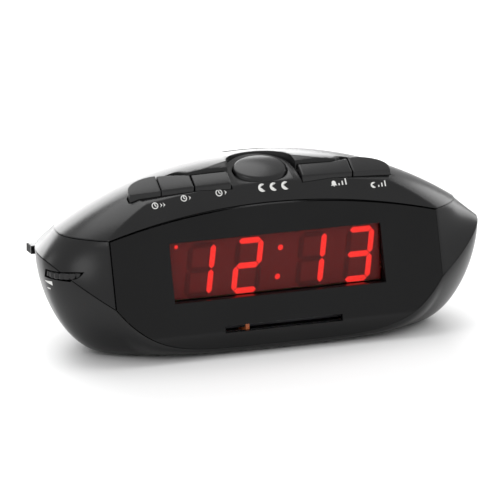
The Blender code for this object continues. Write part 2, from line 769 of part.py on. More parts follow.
def leaning_plate(depth, thick, half_width, low_z, high_z):
    """Plate that leans with the display, its face depth behind the filter's face."""
    rings = []
    for z in (low_z, high_z):
        y = filter_y(z) + depth
        rings.append([Vector((x, y + back, z)) for x, back in
                      ((-half_width, 0), (half_width, 0), (half_width, thick), (-half_width, thick))])
    return loft(rings)


def display(clock, red, body, board):
    half = WINDOW_HALF_WIDTH - GAP
    low, high = WINDOW_LOW_Z + GAP, WINDOW_HIGH_Z - GAP
    add("display_filter", leaning_plate(0, FILTER_THICK, half, low, high), red, clock, False)
    depth = FILTER_THICK + GAP
    add("led_display", leaning_plate(depth, DISPLAY_THICK, half, low, high), body, clock, False)
    depth += DISPLAY_THICK + GAP
    edge = DISPLAY_BOARD_EDGE
    plate = leaning_plate(depth, BOARD_THICK, half + edge, low - edge, high + edge)
    add("display_board", plate, board, clock, False)


def rail_z():
    return SLOT_Z - RAIL_DROP


def rail_body(radius, half_length):
    turn = Matrix.Rotation(math.pi / 2, 4, "Y")
    return drum(radius, 2 * half_length, (0, RAIL_Y, rail_z()), 12, turn)


def rail_holder(side):
    length, depth, rise = RAIL_HOLDER
    high = rail_z() + RAIL_RADIUS + rise
    low = BASE_Z + WALL / 2
    place = (side * (RAIL_HALF_LENGTH - length / 3), RAIL_Y, (low + high) / 2)
    return box((length, depth, high - low), place)


def tuning_scale(clock, plate, orange, steel):
    """Scale strip, the pointer in front of it, and the rail its carriage slides on."""
    blade_y = panel_y(SLOT_Z) + PANEL_THICK + 2 * GAP + POINTER_DEPTH / 2
    plate_y = blade_y + POINTER_DEPTH / 2 + 2 * GAP + BOARD_THICK / 2
    low = rail_z() + CARRIAGE_HALF + GAP
    high = SLOT_Z + SLOT_HEIGHT / 2 + SCALE_EDGE
    size = (2 * (SLOT_HALF_WIDTH + SCALE_EDGE), BOARD_THICK, high - low)
    plate_y = max(plate_y, panel_y(high) + PANEL_THICK + WALL + 3 * GAP + BOARD_THICK / 2)
    add("scale_plate", box(size, (0, plate_y, (low + high) / 2)), plate, clock, False)
    pointer = bpy.data.objects.new("pointer_carriage", None)
    bpy.context.collection.objects.link(pointer)
    pointer.parent = clock
    pointer.location = (POINTER_X, RAIL_Y, rail_z())
    foot_z = -POINTER_FOOT + 2 * GAP
    arm_high = foot_z + POINTER_ARM
    front = blade_y - POINTER_DEPTH / 2 - RAIL_Y
    blade_top = RAIL_DROP + POINTER_HEIGHT / 2
    outline = [
        (front, foot_z),
        (CARRIAGE_HALF, foot_z),
        (CARRIAGE_HALF, CARRIAGE_HALF),
        (-CARRIAGE_HALF, CARRIAGE_HALF),
        (-CARRIAGE_HALF, arm_high),
        (front + POINTER_DEPTH, arm_high),
        (front + POINTER_DEPTH, blade_top),
        (front, blade_top),
    ]
    half = POINTER_WIDTH / 2
    rings = [[Vector((x, y, z)) for y, z in outline] for x in (-half, half)]
    blade = add("dial_pointer", loft(rings), orange, pointer, False)
    turn = Matrix.Rotation(math.pi / 2, 4, "Y")
    bore = drum(RAIL_RADIUS + SHAFT_CLEAR, 4 * POINTER_WIDTH, (0, 0, 0), 12, turn)
    cut(blade, add("carriage_bore", bore, None, pointer))
    add("pointer_rail", rail_body(RAIL_RADIUS, RAIL_HALF_LENGTH), steel, clock)


# ------------------------------------------------------- thumbwheels and switch
def ribbed_ring(radius, z):
    """Outline of a thumbwheel: one rib and one groove for each of its ribs."""
    ring = []
    for i in range(4 * WHEEL_RIBS):
        angle = 2 * math.pi * i / (4 * WHEEL_RIBS)
        reach = radius if i % 4 in (0, 1) else radius - WHEEL_RIB_DEPTH
        ring.append(Vector((reach * math.cos(angle), reach * math.sin(angle), z)))
    return ring


def thumbwheel(clock, name, x, y, black):
    """Ribbed wheel that turns on a control's shaft; its empty stands on the shaft's axis."""
    axle = bpy.data.objects.new(name + "_axis", None)
    bpy.context.collection.objects.link(axle)
    axle.parent = clock
    axle.location = (x, y, WHEEL_Z + WHEEL_THICK / 2)
    half = WHEEL_THICK / 2
    wheel = add(name, loft([ribbed_ring(WHEEL_RADIUS, -half), ribbed_ring(WHEEL_RADIUS, half)]), black, axle)
    bore = drum(SHAFT_RADIUS + SHAFT_CLEAR, 4 * WHEEL_THICK, (0, 0, 0), 20)
    cut(wheel, add(name + "_bore", bore, None, axle))


def wheel_slot(clock, x, y):
    """Room for a wheel in the case wall."""
    size = WHEEL_THICK + 2 * WHEEL_CLEAR
    centre = (x, y, WHEEL_Z + WHEEL_THICK / 2)
    return add("wheel_slot", drum(WHEEL_RADIUS + WHEEL_CLEAR, size, centre), None, clock)


def control(clock, name, x, y, metal):
    """Body of a rotary control, with its shaft up through the wheel."""
    low = CONTROL_BOARD_Z + BOARD_THICK + GAP
    high = WHEEL_Z - GAP
    block = box((CONTROL_BODY, CONTROL_BODY, high - low), (x, y, (low + high) / 2))
    body = add(name, block, metal, clock, False)
    top = WHEEL_Z + WHEEL_THICK
    shaft = drum(SHAFT_RADIUS, top - low, (x, y, (top + low) / 2), 20)
    cut(body, add(name + "_shaft", shaft, None, clock), "UNION")


def control_board(clock, name, side, y, board):
    length, width = CONTROL_BOARD
    centre = (side * (CONTROL_POST_X + CONTROL_BOARD_SHIFT), y, CONTROL_BOARD_Z + BOARD_THICK / 2)
    add(name, box((length, width, BOARD_THICK), centre), board, clock, False)


def slide_switch(clock, black, metal):
    knob = bpy.data.objects.new("switch_slide", None)
    bpy.context.collection.objects.link(knob)
    knob.parent = clock
    length, width, height = SWITCH_KNOB
    knob.location = (SWITCH_TIP_X + length / 2, SWITCH_Y, SWITCH_Z)
    soften(add("switch_knob", box(SWITCH_KNOB, (0, 0, 0)), black, knob), KEY_EDGE)
    body_x = SWITCH_TIP_X + length + GAP + SWITCH_BODY[0] / 2
    add("function_switch", box(SWITCH_BODY, (body_x, SWITCH_Y, SWITCH_Z)), metal, clock, False)
    slot = (2 * length, width + 2 * (SWITCH_TRAVEL + GAP), height + 2 * GAP)
    return add("switch_slot", box(slot, (SWITCH_TIP_X + length / 2, SWITCH_Y, SWITCH_Z)), None, clock)


# ------------------------------------------------------------ feet, door, screws
def feet(clock, rubber):
    cutters = []
    names = ("foot_left_front", "foot_left_rear", "foot_right_front", "foot_right_rear")
    places = [(side * FOOT_X, y) for side in (-1, 1) for y in (FOOT_FRONT_Y, FOOT_REAR_Y)]
    for name, (x, y) in zip(names, places):
        foot = add(name, drum(FOOT_RADIUS, FOOT_HEIGHT, (x, y, FOOT_HEIGHT / 2), 24), rubber, clock)
        soften(foot, 0.3 * MM, 1)
        room = drum(FOOT_RADIUS + GAP, FOOT_HEIGHT + GAP, (x, y, (FOOT_HEIGHT + GAP) / 2), 24)
        cutters.append(add(name + "_room", room, None, clock))
    return cutters


def battery_bay(clock, black, battery, metal):
    """Door in the floor, and the box, battery and clip behind it."""
    hinge_y = DOOR_Y + DOOR_WIDTH / 2
    hinge = bpy.data.objects.new("door_hinge", None)
    bpy.context.collection.objects.link(hinge)
    hinge.parent = clock
    hinge.location = (0, hinge_y, BASE_Z)
    door_size = (DOOR_LENGTH - 2 * GAP, DOOR_WIDTH - 2 * GAP, DOOR_THICK)
    add("battery_door", box(door_size, (0, -DOOR_WIDTH / 2, DOOR_THICK / 2)), black, hinge, False)
    opening = box((DOOR_LENGTH, DOOR_WIDTH, 4 * WALL), (0, DOOR_Y, BASE_Z))
    room = [BATTERY_LENGTH, BATTERY_WIDTH, BATTERY_THICK]
    room = [side + 2 * BATTERY_CLEAR for side in room]
    room[0] += CLIP_LENGTH
    low = BASE_Z + WALL + GAP
    outer = [room[0] + 2 * BATTERY_WALL, room[1] + 2 * BATTERY_WALL, room[2] + BATTERY_WALL]
    bay = add("battery_box", box(outer, (0, DOOR_Y, low + outer[2] / 2)), black, clock, False)
    cut(bay, add("bay_room", box((room[0], room[1], 2 * room[2]), (0, DOOR_Y, low)), None, clock))
    cell_x = CLIP_LENGTH / 2
    cell_size = (BATTERY_LENGTH, BATTERY_WIDTH, BATTERY_THICK)
    cell = box(cell_size, (cell_x, DOOR_Y, low + BATTERY_CLEAR + BATTERY_THICK / 2))
    soften(add("backup_battery", cell, battery, clock), BATTERY_EDGE)
    clip_x = -room[0] / 2 + CLIP_LENGTH / 2
    clip_size = (CLIP_LENGTH - 2 * GAP, 0.8 * BATTERY_WIDTH, 0.6 * BATTERY_THICK)
    clip = box(clip_size, (clip_x, DOOR_Y, low + BATTERY_THICK / 2))
    add("battery_clip", clip, metal, clock, False)
    return add("door_opening", opening, None, clock)


def screws(clock, steel):
    for number, (x, y) in enumerate(screw_places(), 1):
        head_z = BASE_Z + SCREW_SINK - GAP
        bm = drum(SCREW_HEAD_RADIUS, SCREW_HEAD, (x, y, head_z - SCREW_HEAD / 2), 16)
        screw = add(f"housing_screw_{number}", bm, steel, clock)
        low = head_z - SCREW_HEAD / 2
        shank = drum(SCREW_RADIUS, SCREW_LENGTH, (x, y, low + SCREW_LENGTH / 2), 12)
        cut(screw, add("shank", shank, None, clock), "UNION")
        key = box(DRIVE_SLOT, (x, y, head_z - SCREW_HEAD))
        cut(screw, add("screw_slot", key, None, clock))


# ---------------------------------------------------------------- electrical parts
def speaker(clock, metal, cone, dark):
    """Rim and basket with a dished cone, and the magnet behind it."""
    tilt = Matrix.Rotation(SPEAKER_TILT, 4, "X")
    place = Matrix.Translation((0, SPEAKER_Y, SPEAKER_Z))

    def turned(profile, steps=ROUND_STEPS):
        rings = []
        for radius, z in profile:
            rings.append([place @ tilt @ Vector((radius * math.cos(2 * math.pi * i / steps),
                                                 radius * math.sin(2 * math.pi * i / steps), z))
                          for i in range(steps)])
        return loft(rings)

    rim = SPEAKER_RADIUS
    basket_low = -(SPEAKER_DEPTH - MAGNET_THICK)
    basket = [
        (SPEAKER_THROAT * rim, basket_low),
        (rim, -SPEAKER_RIM),
        (rim, 0),
        (SPEAKER_FRONT * rim, 0),
        (SPEAKER_CONE * rim, CONE_DEPTH * basket_low),
    ]
    add("speaker", turned(basket), cone, clock)
    high = basket_low - GAP
    magnet = turned([(MAGNET_RADIUS, high - MAGNET_THICK), (MAGNET_RADIUS, high)])
    add("speaker_magnet", magnet, dark, clock)


def grille_slots(clock):
    """Slots through the lid's rear slope over the speaker."""
    cutters = []
    for row in range(-GRILLE_ROWS, GRILLE_ROWS + 1):
        offset = row * GRILLE_PITCH
        half = math.sqrt(GRILLE_RADIUS ** 2 - offset ** 2)
        size = (2 * half, GRILLE_SLOT, CUT_REACH)
        bm = box(size, (0, SPEAKER_Y + GRILLE_SHIFT + offset * math.cos(SPEAKER_TILT), CREST_Z))
        cutters.append(add(f"grille_cut_{row + GRILLE_ROWS}", bm, None, clock))
    return cutters


def antenna(clock, ferrite, copper):
    turn = Matrix.Rotation(math.pi / 2, 4, "Y")
    add("ferrite_rod", drum(ROD_RADIUS, ROD_LENGTH, (0, ROD_Y, ROD_Z), 20, turn), ferrite, clock)
    winding = drum(COIL_RADIUS, COIL_LENGTH, (COIL_X, ROD_Y, ROD_Z), 24, turn)
    coil = add("antenna_coil", winding, copper, clock)
    bore = drum(ROD_RADIUS + GAP, 2 * COIL_LENGTH, (COIL_X, ROD_Y, ROD_Z), 20, turn)
    cut(coil, add("coil_bore", bore, None, clock))


def main_board(clock, board):
    length, width = MAIN_BOARD
    low = BASE_Z + WALL + GAP + BATTERY_THICK + 2 * BATTERY_CLEAR + BATTERY_WALL + MAIN_BOARD_CLEAR
    display_stack = FILTER_THICK + GAP + DISPLAY_THICK + GAP + BOARD_THICK
    front = filter_y(low + BOARD_THICK) + display_stack + MAIN_BOARD_CLEAR
    centre = (MAIN_BOARD_X, front + width / 2, low + BOARD_THICK / 2)
    add("main_board", box((length, width, BOARD_THICK), centre), board, clock, False)


def transformer(clock, iron, copper):
    low = BASE_Z + WALL + GAP
    centre = (TRANSFORMER_X, TRANSFORMER_Y, low + CORE[2] / 2)
    core = add("transformer_core", box(CORE, centre), iron, clock, False)
    window = (WINDING[0] + 2 * GAP, 2 * WINDING[1], WINDING[2] + 2 * GAP)
    cut(core, add("core_window", box(window, centre), None, clock))
    soften(add("transformer_winding", box(WINDING, centre), copper, clock), 1.5 * MM)


def mains_inlet(clock, black):
    """Socket for a two-pin lead, set in the bowl's rear wall."""
    centre = (INLET_X, INLET_FACE_Y - INLET[1] / 2, INLET_Z)
    inlet = add("mains_inlet", box(INLET, centre), black, clock, False)
    mouth = (INLET_MOUTH[0], 2 * INLET_MOUTH[1], INLET_MOUTH[2])
    cut(inlet, add("inlet_mouth", box(mouth, (INLET_X, INLET_FACE_Y, INLET_Z)), None, clock))
    turn = Matrix.Rotation(math.pi / 2, 4, "X")
    reach = INLET_MOUTH[1]
    for side in (-1, 1):
        place = (INLET_X + side * PIN_PITCH / 2, INLET_FACE_Y - reach / 2 - MM, INLET_Z)
        cut(inlet, add("pin", drum(PIN_RADIUS, reach, place, 12, turn), None, clock), "UNION")
    size = (INLET[0] + 2 * GAP, 2 * INLET[1], INLET[2] + 2 * GAP)
    return add("inlet_opening", box(size, (INLET_X, INLET_FACE_Y, INLET_Z)), None, clock)


def build():
    clock = start()
    black = finish("satin black plastic", (0.022, 0.022, 0.024), 0.38)
    gloss = finish("gloss black panel", (0.018, 0.018, 0.020), 0.16)
    red = finish("red filter", (0.35, 0.02, 0.02), 0.2)
    grey = finish("grey plastic", (0.30, 0.30, 0.30), 0.5)
    board = finish("circuit board", (0.05, 0.20, 0.09), 0.45)
    steel = finish("steel", (0.55, 0.55, 0.55), 0.35, 1.0)
    iron = finish("laminated iron", (0.16, 0.15, 0.15), 0.5, 0.8)
    copper = finish("copper winding", (0.55, 0.24, 0.10), 0.4, 0.8)
    rubber = finish("rubber", (0.03, 0.03, 0.03), 0.8)
    orange = finish("orange pointer", (0.75, 0.22, 0.05), 0.45)
    dark = finish("dark ferrite", (0.07, 0.07, 0.08), 0.55)
    label = finish("battery sleeve", (0.08, 0.10, 0.16), 0.4)

    panel_cuts, seat_cuts = front_openings(clock)
    wheels = [wheel_slot(clock, VOLUME_X, VOLUME_Y), wheel_slot(clock, TUNING_X, TUNING_Y)]
    key_holes = keys_and_holes(clock, black)
    switch_slot = slide_switch(clock, black, steel)
    bowl_cuts = feet(clock, rubber) + wheels + [switch_slot]
    bowl_cuts += [battery_bay(clock, black, label, steel), mains_inlet(clock, black)]

    lower_housing(clock, black, bowl_cuts)
    upper_housing(clock, black, seat_cuts + wheels)
    top_cover(clock, black, key_holes + grille_slots(clock))
    front_panel(clock, gloss, panel_cuts)
    display(clock, red, grey, board)
    tuning_scale(clock, dark, orange, steel)
    thumbwheel(clock, "volume_wheel", VOLUME_X, VOLUME_Y, black)
    thumbwheel(clock, "tuning_wheel", TUNING_X, TUNING_Y, black)
    control(clock, "volume_control", VOLUME_X, VOLUME_Y, steel)
    control(clock, "tuning_capacitor", TUNING_X, TUNING_Y, grey)
    control_board(clock, "volume_board", -1, VOLUME_BOARD_Y, board)
    control_board(clock, "tuning_board", 1, TUNING_BOARD_Y, board)
    key_switches(clock, grey, board)
    main_board(clock, board)
    screws(clock, steel)
    speaker(clock, steel, dark, dark)
    antenna(clock, dark, copper)
    transformer(clock, iron, copper)


build()
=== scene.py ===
# %% [markdown]
# # A bedside alarm clock radio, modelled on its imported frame
#
# The clock is a low oval pod in three black shells, with a glossy leaning front, a red LED display and a
# row of keys along its crown. The frame holds its solids and joints. This lesson lays the fine skin over
# them: each curved piece is modelled again with smooth curves, and each flat one gets its finish.

import math

import bpy
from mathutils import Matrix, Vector


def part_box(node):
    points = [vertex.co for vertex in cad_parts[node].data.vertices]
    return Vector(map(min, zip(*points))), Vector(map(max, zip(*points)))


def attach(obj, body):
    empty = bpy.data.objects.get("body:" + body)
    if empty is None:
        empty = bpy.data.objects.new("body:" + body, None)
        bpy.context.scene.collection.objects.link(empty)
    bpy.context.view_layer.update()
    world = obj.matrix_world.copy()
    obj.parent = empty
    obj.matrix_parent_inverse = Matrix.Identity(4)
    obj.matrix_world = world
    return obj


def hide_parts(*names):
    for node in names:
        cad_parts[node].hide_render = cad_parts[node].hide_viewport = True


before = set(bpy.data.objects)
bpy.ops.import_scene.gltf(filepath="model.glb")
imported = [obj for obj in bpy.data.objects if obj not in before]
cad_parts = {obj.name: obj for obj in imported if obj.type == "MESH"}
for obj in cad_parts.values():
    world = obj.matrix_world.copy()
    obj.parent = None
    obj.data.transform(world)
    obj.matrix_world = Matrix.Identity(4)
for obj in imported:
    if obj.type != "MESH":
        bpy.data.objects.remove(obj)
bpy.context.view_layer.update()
MM = 0.001

# %% [markdown]
# ## Where things are
#
# The case was drawn about the line through its two pointed ends. The frame is centred on its footprint
# instead, so every length along Y is moved by one fixed amount, read here from the volume wheel.

# %% The shift along Y
wheel_low, wheel_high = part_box("volume_wheel")
VOLUME = Vector([(low + high) / 2 for low, high in zip(wheel_low, wheel_high)])
SHIFT = VOLUME.y + 3.0 * MM
print("shift along Y, mm:", round(SHIFT / MM, 3))

# %% [markdown]
# ## A few habits
#
# Blender's operators act on whatever is selected, so a hand modeller clicks into empty space before
# starting a new piece. `rest` does that. `pick` selects one object and makes it active, and `settle`
# applies its place, so that every finished piece stands at the origin with its shape in its mesh.

# %% Selection habits
def rest():
    if bpy.context.object and bpy.context.object.mode != "OBJECT":
        bpy.ops.object.mode_set(mode="OBJECT")
    bpy.ops.object.select_all(action="DESELECT")


def pick(piece):
    rest()
    piece.select_set(True)
    bpy.context.view_layer.objects.active = piece


def settle(piece):
    pick(piece)
    bpy.ops.object.transform_apply(location=True, rotation=True, scale=True)
    return piece


def edit(piece, mode="VERT"):
    """Edit mode with nothing selected."""
    pick(piece)
    bpy.ops.object.mode_set(mode="EDIT")
    bpy.ops.mesh.select_mode(type=mode)
    bpy.ops.mesh.select_all(action="DESELECT")


def tidy(piece, merge=0.00001):
    """Merges doubles, closes what is open and points every face outwards."""
    edit(piece)
    bpy.ops.mesh.select_all(action="SELECT")
    bpy.ops.mesh.remove_doubles(threshold=merge)
    bpy.ops.mesh.select_all(action="DESELECT")
    bpy.ops.mesh.select_non_manifold()
    bpy.ops.mesh.fill_holes(sides=0)
    bpy.ops.mesh.select_all(action="SELECT")
    bpy.ops.mesh.normals_make_consistent(inside=False)
    bpy.ops.object.mode_set(mode="OBJECT")
    return piece


# %% [markdown]
# ## Laying a grid over a shape
#
# The shells are free curves. A sculptor would drape clay over formers; here a flat grid is the clay, and
# each of its points is moved on to a ring of the shape. The grid's two side edges meet and are merged.

# %% Grid over rings
def drape(name, rings):
    """A closed skin: one grid row for each ring, one column for each of its points."""
    rest()
    around, rows = len(rings[0]), len(rings) - 1
    bpy.ops.mesh.primitive_grid_add(x_subdivisions=around, y_subdivisions=rows, size=1)
    skin = bpy.context.object
    skin.name = name
    for point in skin.data.vertices:
        column = round((point.co.x + 0.5) * around) % around
        row = round((point.co.y + 0.5) * rows)
        place = rings[row][column]
        point.co = (place[0], place[1] + SHIFT, place[2])
    return tidy(skin)


def modify(piece, kind, **settings):
    """Adds a modifier, sets it and applies it."""
    pick(piece)
    step = piece.modifiers.new(kind.lower(), kind)
    for key, value in settings.items():
        setattr(step, key, value)
    bpy.ops.object.modifier_apply(modifier=step.name)
    return piece


def carve(piece, *tools, operation="DIFFERENCE"):
    """Cuts each tool out of a piece, or joins it on, and throws the tool away."""
    for tool in tools:
        modify(piece, "BOOLEAN", operation=operation, solver="EXACT", object=tool)
        bpy.data.objects.remove(tool)
    return piece


def ease(piece, width, segments=2, angle=40):
    """Rounds the edges sharper than an angle, as a mould's cutter leaves them."""
    return modify(piece, "BEVEL", width=width, segments=segments, limit_method="ANGLE",
                  angle_limit=math.radians(angle), use_clamp_overlap=True, miter_outer="MITER_ARC")


def smooth(piece, angle=35):
    pick(piece)
    bpy.ops.object.shade_smooth_by_angle(angle=math.radians(angle))
    return piece


def block(name, size, place, turn=(0, 0, 0)):
    """A cube primitive at its size and place; place is in the drawing's own Y."""
    rest()
    x, y, z = place
    bpy.ops.mesh.primitive_cube_add(size=1, location=(x, y + SHIFT, z), rotation=turn, scale=size)
    piece = bpy.context.object
    piece.name = name
    return settle(piece)


def drum(name, radius, depth, place, turn=(0, 0, 0), sides=64):
    """A cylinder primitive at its size and place."""
    rest()
    x, y, z = place
    bpy.ops.mesh.primitive_cylinder_add(vertices=sides, radius=radius, depth=depth,
                                        location=(x, y + SHIFT, z), rotation=turn)
    piece = bpy.context.object
    piece.name = name
    return settle(piece)


pieces = []


def keep(piece, body, look, node=None):
    """Gives a piece its finish and its body, and hides the solid that it stands for."""
    piece.data.materials.clear()
    piece.data.materials.append(look)
    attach(piece, body)
    if node:
        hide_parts(node)
    pieces.append(piece)
    print(piece.name, len(piece.data.polygons), "faces")
    return piece


# %% [markdown]
# ## Shader sums
#
# A finish that varies over a surface is worked out from noise. This small class wraps a socket, so that
# `0.3 + 0.1 * grain` reads as plain Python and makes the Math nodes by itself.

# %% Shader sums
class Amount:
    """A number that changes over a surface."""

    def __init__(self, tree, socket):
        self.tree = tree
        self.socket = socket

    def sum(self, operation, left, right):
        step = self.tree.nodes.new("ShaderNodeMath")
        step.operation = operation
        for entry, value in zip(step.inputs, (left, right)):
            if isinstance(value, Amount):
                self.tree.links.new(value.socket, entry)
            else:
                entry.default_value = value
        return Amount(self.tree, step.outputs[0])

    def __add__(self, other):
        return self.sum("ADD", self, other)

    def __radd__(self, other):
        return self.sum("ADD", other, self)

    def __sub__(self, other):
        return self.sum("SUBTRACT", self, other)

    def __rsub__(self, other):
        return self.sum("SUBTRACT", other, self)

    def __mul__(self, other):
        return self.sum("MULTIPLY", self, other)

    def __rmul__(self, other):
        return self.sum("MULTIPLY", other, self)

    def __abs__(self):
        return self.sum("ABSOLUTE", self, 0)


class Finish:
    """A material under construction."""

    def __init__(self, name, base, rough, metal=0.0, coat=0.0, coat_rough=0.05, mirror=0.5):
        self.material = bpy.data.materials.new(name)
        self.material.use_nodes = True
        self.tree = self.material.node_tree
        self.shader = self.tree.nodes["Principled BSDF"]
        self.set("Base Color", (*base, 1))
        self.set("Roughness", rough)
        self.set("Metallic", metal)
        self.set("Coat Weight", coat)
        self.set("Coat Roughness", coat_rough)
        self.set("Specular IOR Level", mirror)
        self.place = self.node("ShaderNodeTexCoord").outputs["Object"]

    def node(self, kind, settings=None, inputs=None):
        """One node: its settings first, then the values or links of its sockets."""
        made = self.tree.nodes.new(kind)
        for key, value in (settings or {}).items():
            setattr(made, key, value)
        for key, value in (inputs or {}).items():
            value = value.socket if isinstance(value, Amount) else value
            if isinstance(value, bpy.types.NodeSocket):
                self.tree.links.new(value, made.inputs[key])
            else:
                made.inputs[key].default_value = value
        return made

    def set(self, entry, value):
        if isinstance(value, Amount):
            value = value.socket
        if isinstance(value, bpy.types.NodeSocket):
            self.tree.links.new(value, self.shader.inputs[entry])
        else:
            self.shader.inputs[entry].default_value = value

    def noise(self, scale, detail=3.0, stretch=(1, 1, 1)):
        """Cloudy noise, scale in lumps per metre; stretch squeezes it along an axis."""
        spot = self.node("ShaderNodeMapping", None, {"Vector": self.place, "Scale": stretch})
        inputs = {"Vector": spot.outputs[0], "Scale": scale, "Detail": detail}
        return Amount(self.tree, self.node("ShaderNodeTexNoise", None, inputs).outputs[0])

    def mix(self, share, low, high):
        """A colour between two colours."""
        made = self.node("ShaderNodeMix", {"data_type": "RGBA"}, {0: share, 6: (*low, 1), 7: (*high, 1)})
        return made.outputs[2]

    def bump(self, height, distance, strength=1.0):
        inputs = {"Height": height, "Distance": distance, "Strength": strength}
        self.set("Normal", self.node("ShaderNodeBump", None, inputs).outputs[0])


# %% [markdown]
# ## The finishes
#
# Injection-moulded case plastic isn't one flat black. The mould leaves a fine spark-eroded grain, handling
# leaves it a little shinier in places, and dust greys it slightly. The front panel is the same plastic,
# polished, with the faint waviness of a thin moulded plate.

# %% Moulded plastic
def moulded(name, base, dusty, rough, grain, depth, coat=0.0, coat_rough=0.05, mirror=0.5):
    """Plastic with a grain: lumps per metre and depth in metres."""
    look = Finish(name, base, rough, coat=coat, coat_rough=coat_rough, mirror=mirror)
    cloud = look.noise(38, 4)
    fine = look.noise(grain, 2)
    look.set("Base Color", look.mix((cloud - 0.35) * 1.6, base, dusty))
    look.set("Roughness", rough - 0.05 + 0.07 * cloud + 0.05 * fine)
    look.bump(fine + 0.4 * look.noise(grain * 3, 1), depth)
    return look.material


case_black = moulded("satin case plastic", (0.0035, 0.0035, 0.0038), (0.007, 0.007, 0.0075),
                     0.24, 2600, 0.000006, mirror=0.36)
key_black = moulded("key plastic", (0.004, 0.004, 0.0044), (0.008, 0.008, 0.0085), 0.24, 3400, 0.000004,
                    mirror=0.4)
inner_black = moulded("inner plastic", (0.004, 0.004, 0.0044), (0.007, 0.007, 0.0075), 0.50, 2000, 0.00001)
panel_gloss = moulded("polished front panel", (0.0020, 0.0020, 0.0022), (0.004, 0.004, 0.0043),
                      0.16, 700, 0.0000012,
                      mirror=0.24)
grey_plastic = moulded("grey module plastic", (0.25, 0.25, 0.25), (0.33, 0.33, 0.32), 0.46, 2200, 0.000008)
scale_black = moulded("scale strip", (0.05, 0.05, 0.055), (0.075, 0.075, 0.08), 0.42, 3000, 0.000004)
rubber = moulded("foot rubber", (0.022, 0.021, 0.020), (0.040, 0.039, 0.037), 0.78, 4200, 0.00002)
ferrite = moulded("sintered ferrite", (0.045, 0.045, 0.050), (0.075, 0.075, 0.080), 0.55, 5000, 0.00001)
sleeve = moulded("battery sleeve", (0.05, 0.07, 0.12), (0.09, 0.11, 0.16), 0.38, 1500, 0.000004)
print("moulded finishes:", len(bpy.data.materials))

# %% [markdown]
# The pointer is orange acetal, the printed marks are a thick white ink with a slightly broken surface,
# and the metal parts are plated steel, brushed along X. The red window is tinted acrylic: it lets the
# display behind it through, so its finish has an alpha below one.

# %% Other finishes
def metal(name, base, rough, stretch):
    look = Finish(name, base, rough, metal=1.0)
    lines = look.noise(900, 3, stretch)
    look.set("Roughness", rough - 0.08 + 0.18 * lines)
    look.set("Base Color", look.mix(look.noise(60, 3), base, tuple(0.8 * part for part in base)))
    look.bump(lines, 0.000004)
    return look.material


steel = metal("plated steel", (0.56, 0.56, 0.57), 0.30, (0.08, 1, 1))
iron = metal("varnished laminations", (0.20, 0.18, 0.17), 0.42, (1, 0.05, 1))
copper = metal("enamelled wire", (0.60, 0.25, 0.11), 0.34, (1, 1, 6))
pointer_orange = moulded("pointer acetal", (0.62, 0.16, 0.05), (0.74, 0.24, 0.09), 0.36, 3000, 0.000004)
print_white = moulded("white marking ink", (0.72, 0.72, 0.70), (0.84, 0.84, 0.82), 0.52, 6000, 0.000003)


def tinted(name, base, deep, alpha):
    look = Finish(name, base, 0.12, mirror=0.2)
    haze = look.noise(55, 3)
    look.set("Base Color", look.mix(haze, deep, base))
    look.set("Roughness", 0.10 + 0.06 * haze)
    look.set("Alpha", alpha + 0.04 * haze)
    look.bump(look.noise(900, 2), 0.000001)
    return look.material


def glowing(name, base, light, strength):
    """A lit segment: brighter in its middle lumps, as the die behind the diffuser is."""
    look = Finish(name, base, 0.4)
    hot = look.noise(420, 2)
    look.set("Base Color", look.mix(hot, base, light))
    look.set("Emission Color", look.mix(hot, tuple(0.86 * part for part in light), light))
    look.set("Emission Strength", strength)
    look.bump(look.noise(3000, 1), 0.000003)
    return look.material


def board_green():
    """Solder mask over tracks: copper runs show as slightly raised, lighter lines."""
    look = Finish("circuit board", (0.03, 0.14, 0.06), 0.42)
    tracks = look.noise(240, 1, (1, 0.2, 1))
    line = abs(tracks - 0.5)
    look.set("Base Color", look.mix(line * 9, (0.05, 0.24, 0.10), (0.02, 0.11, 0.05)))
    look.bump(line, 0.00004)
    return look.material


window_red = tinted("tinted red acrylic", (0.14, 0.006, 0.005), (0.11, 0.005, 0.004), 0.24)
display_red = moulded("display face", (0.145, 0.016, 0.014), (0.175, 0.020, 0.018), 0.55, 2400, 0.000006)
segment_dark = moulded("unlit segment", (0.028, 0.004, 0.004), (0.038, 0.006, 0.005), 0.5, 2600, 0.000004)
segment_lit = glowing("lit segment", (0.8, 0.02, 0.015), (1.0, 0.030, 0.022), 1.35)
circuit = board_green()
print("finishes in all:", len(bpy.data.materials))

# %% [markdown]
# ## The shape of the case
#
# Three curves make the case: the flat base, the wide rim where the bowl meets the band, and the narrower
# seam under the lid. Behind the front panel's corners the rim and the seam are halves of ellipses; in
# front they follow the panel, which leans back, arches at its top and rolls under at its chin.

# %% The front panel's plane
TIP, REAR, RIM_Z = 93.34 * MM, 68.46 * MM, 41.0 * MM
CREST = Vector((0, 8.2 * MM, 73.3 * MM))
SEAM_TIP, SEAM_REAR, SEAM_Y, SEAM_Z = 84.6 * MM, 56.0 * MM, 4.8 * MM, 49.2 * MM
PANEL_HALF, FOOT_Z, KNEE_Z, ARC_Z = 70.0 * MM, 3.4 * MM, 22.8 * MM, 57.8 * MM
WALL, GAP, PROUD, PANEL_THICK = 2.2 * MM, 0.3 * MM, 0.55 * MM, 2.0 * MM
FRONT, AROUND = 80, 150


def face_y(z):
    """The panel's face at height z."""
    roll = max(0.0, (12.8 * MM - z) / (12.8 * MM - FOOT_Z))
    return -27.83 * MM + 0.29 * (z - FOOT_Z) + 3.0 * MM * roll ** 2


def low_z(share):
    return FOOT_Z + (KNEE_Z - FOOT_Z) * abs(share) ** 4.8


def high_z(share):
    return ARC_Z - (ARC_Z - SEAM_Z) * share ** 2


shares = [2 * i / FRONT - 1 for i in range(FRONT + 1)]
print("panel leans", round(math.degrees(math.atan(0.29)), 1), "degrees")


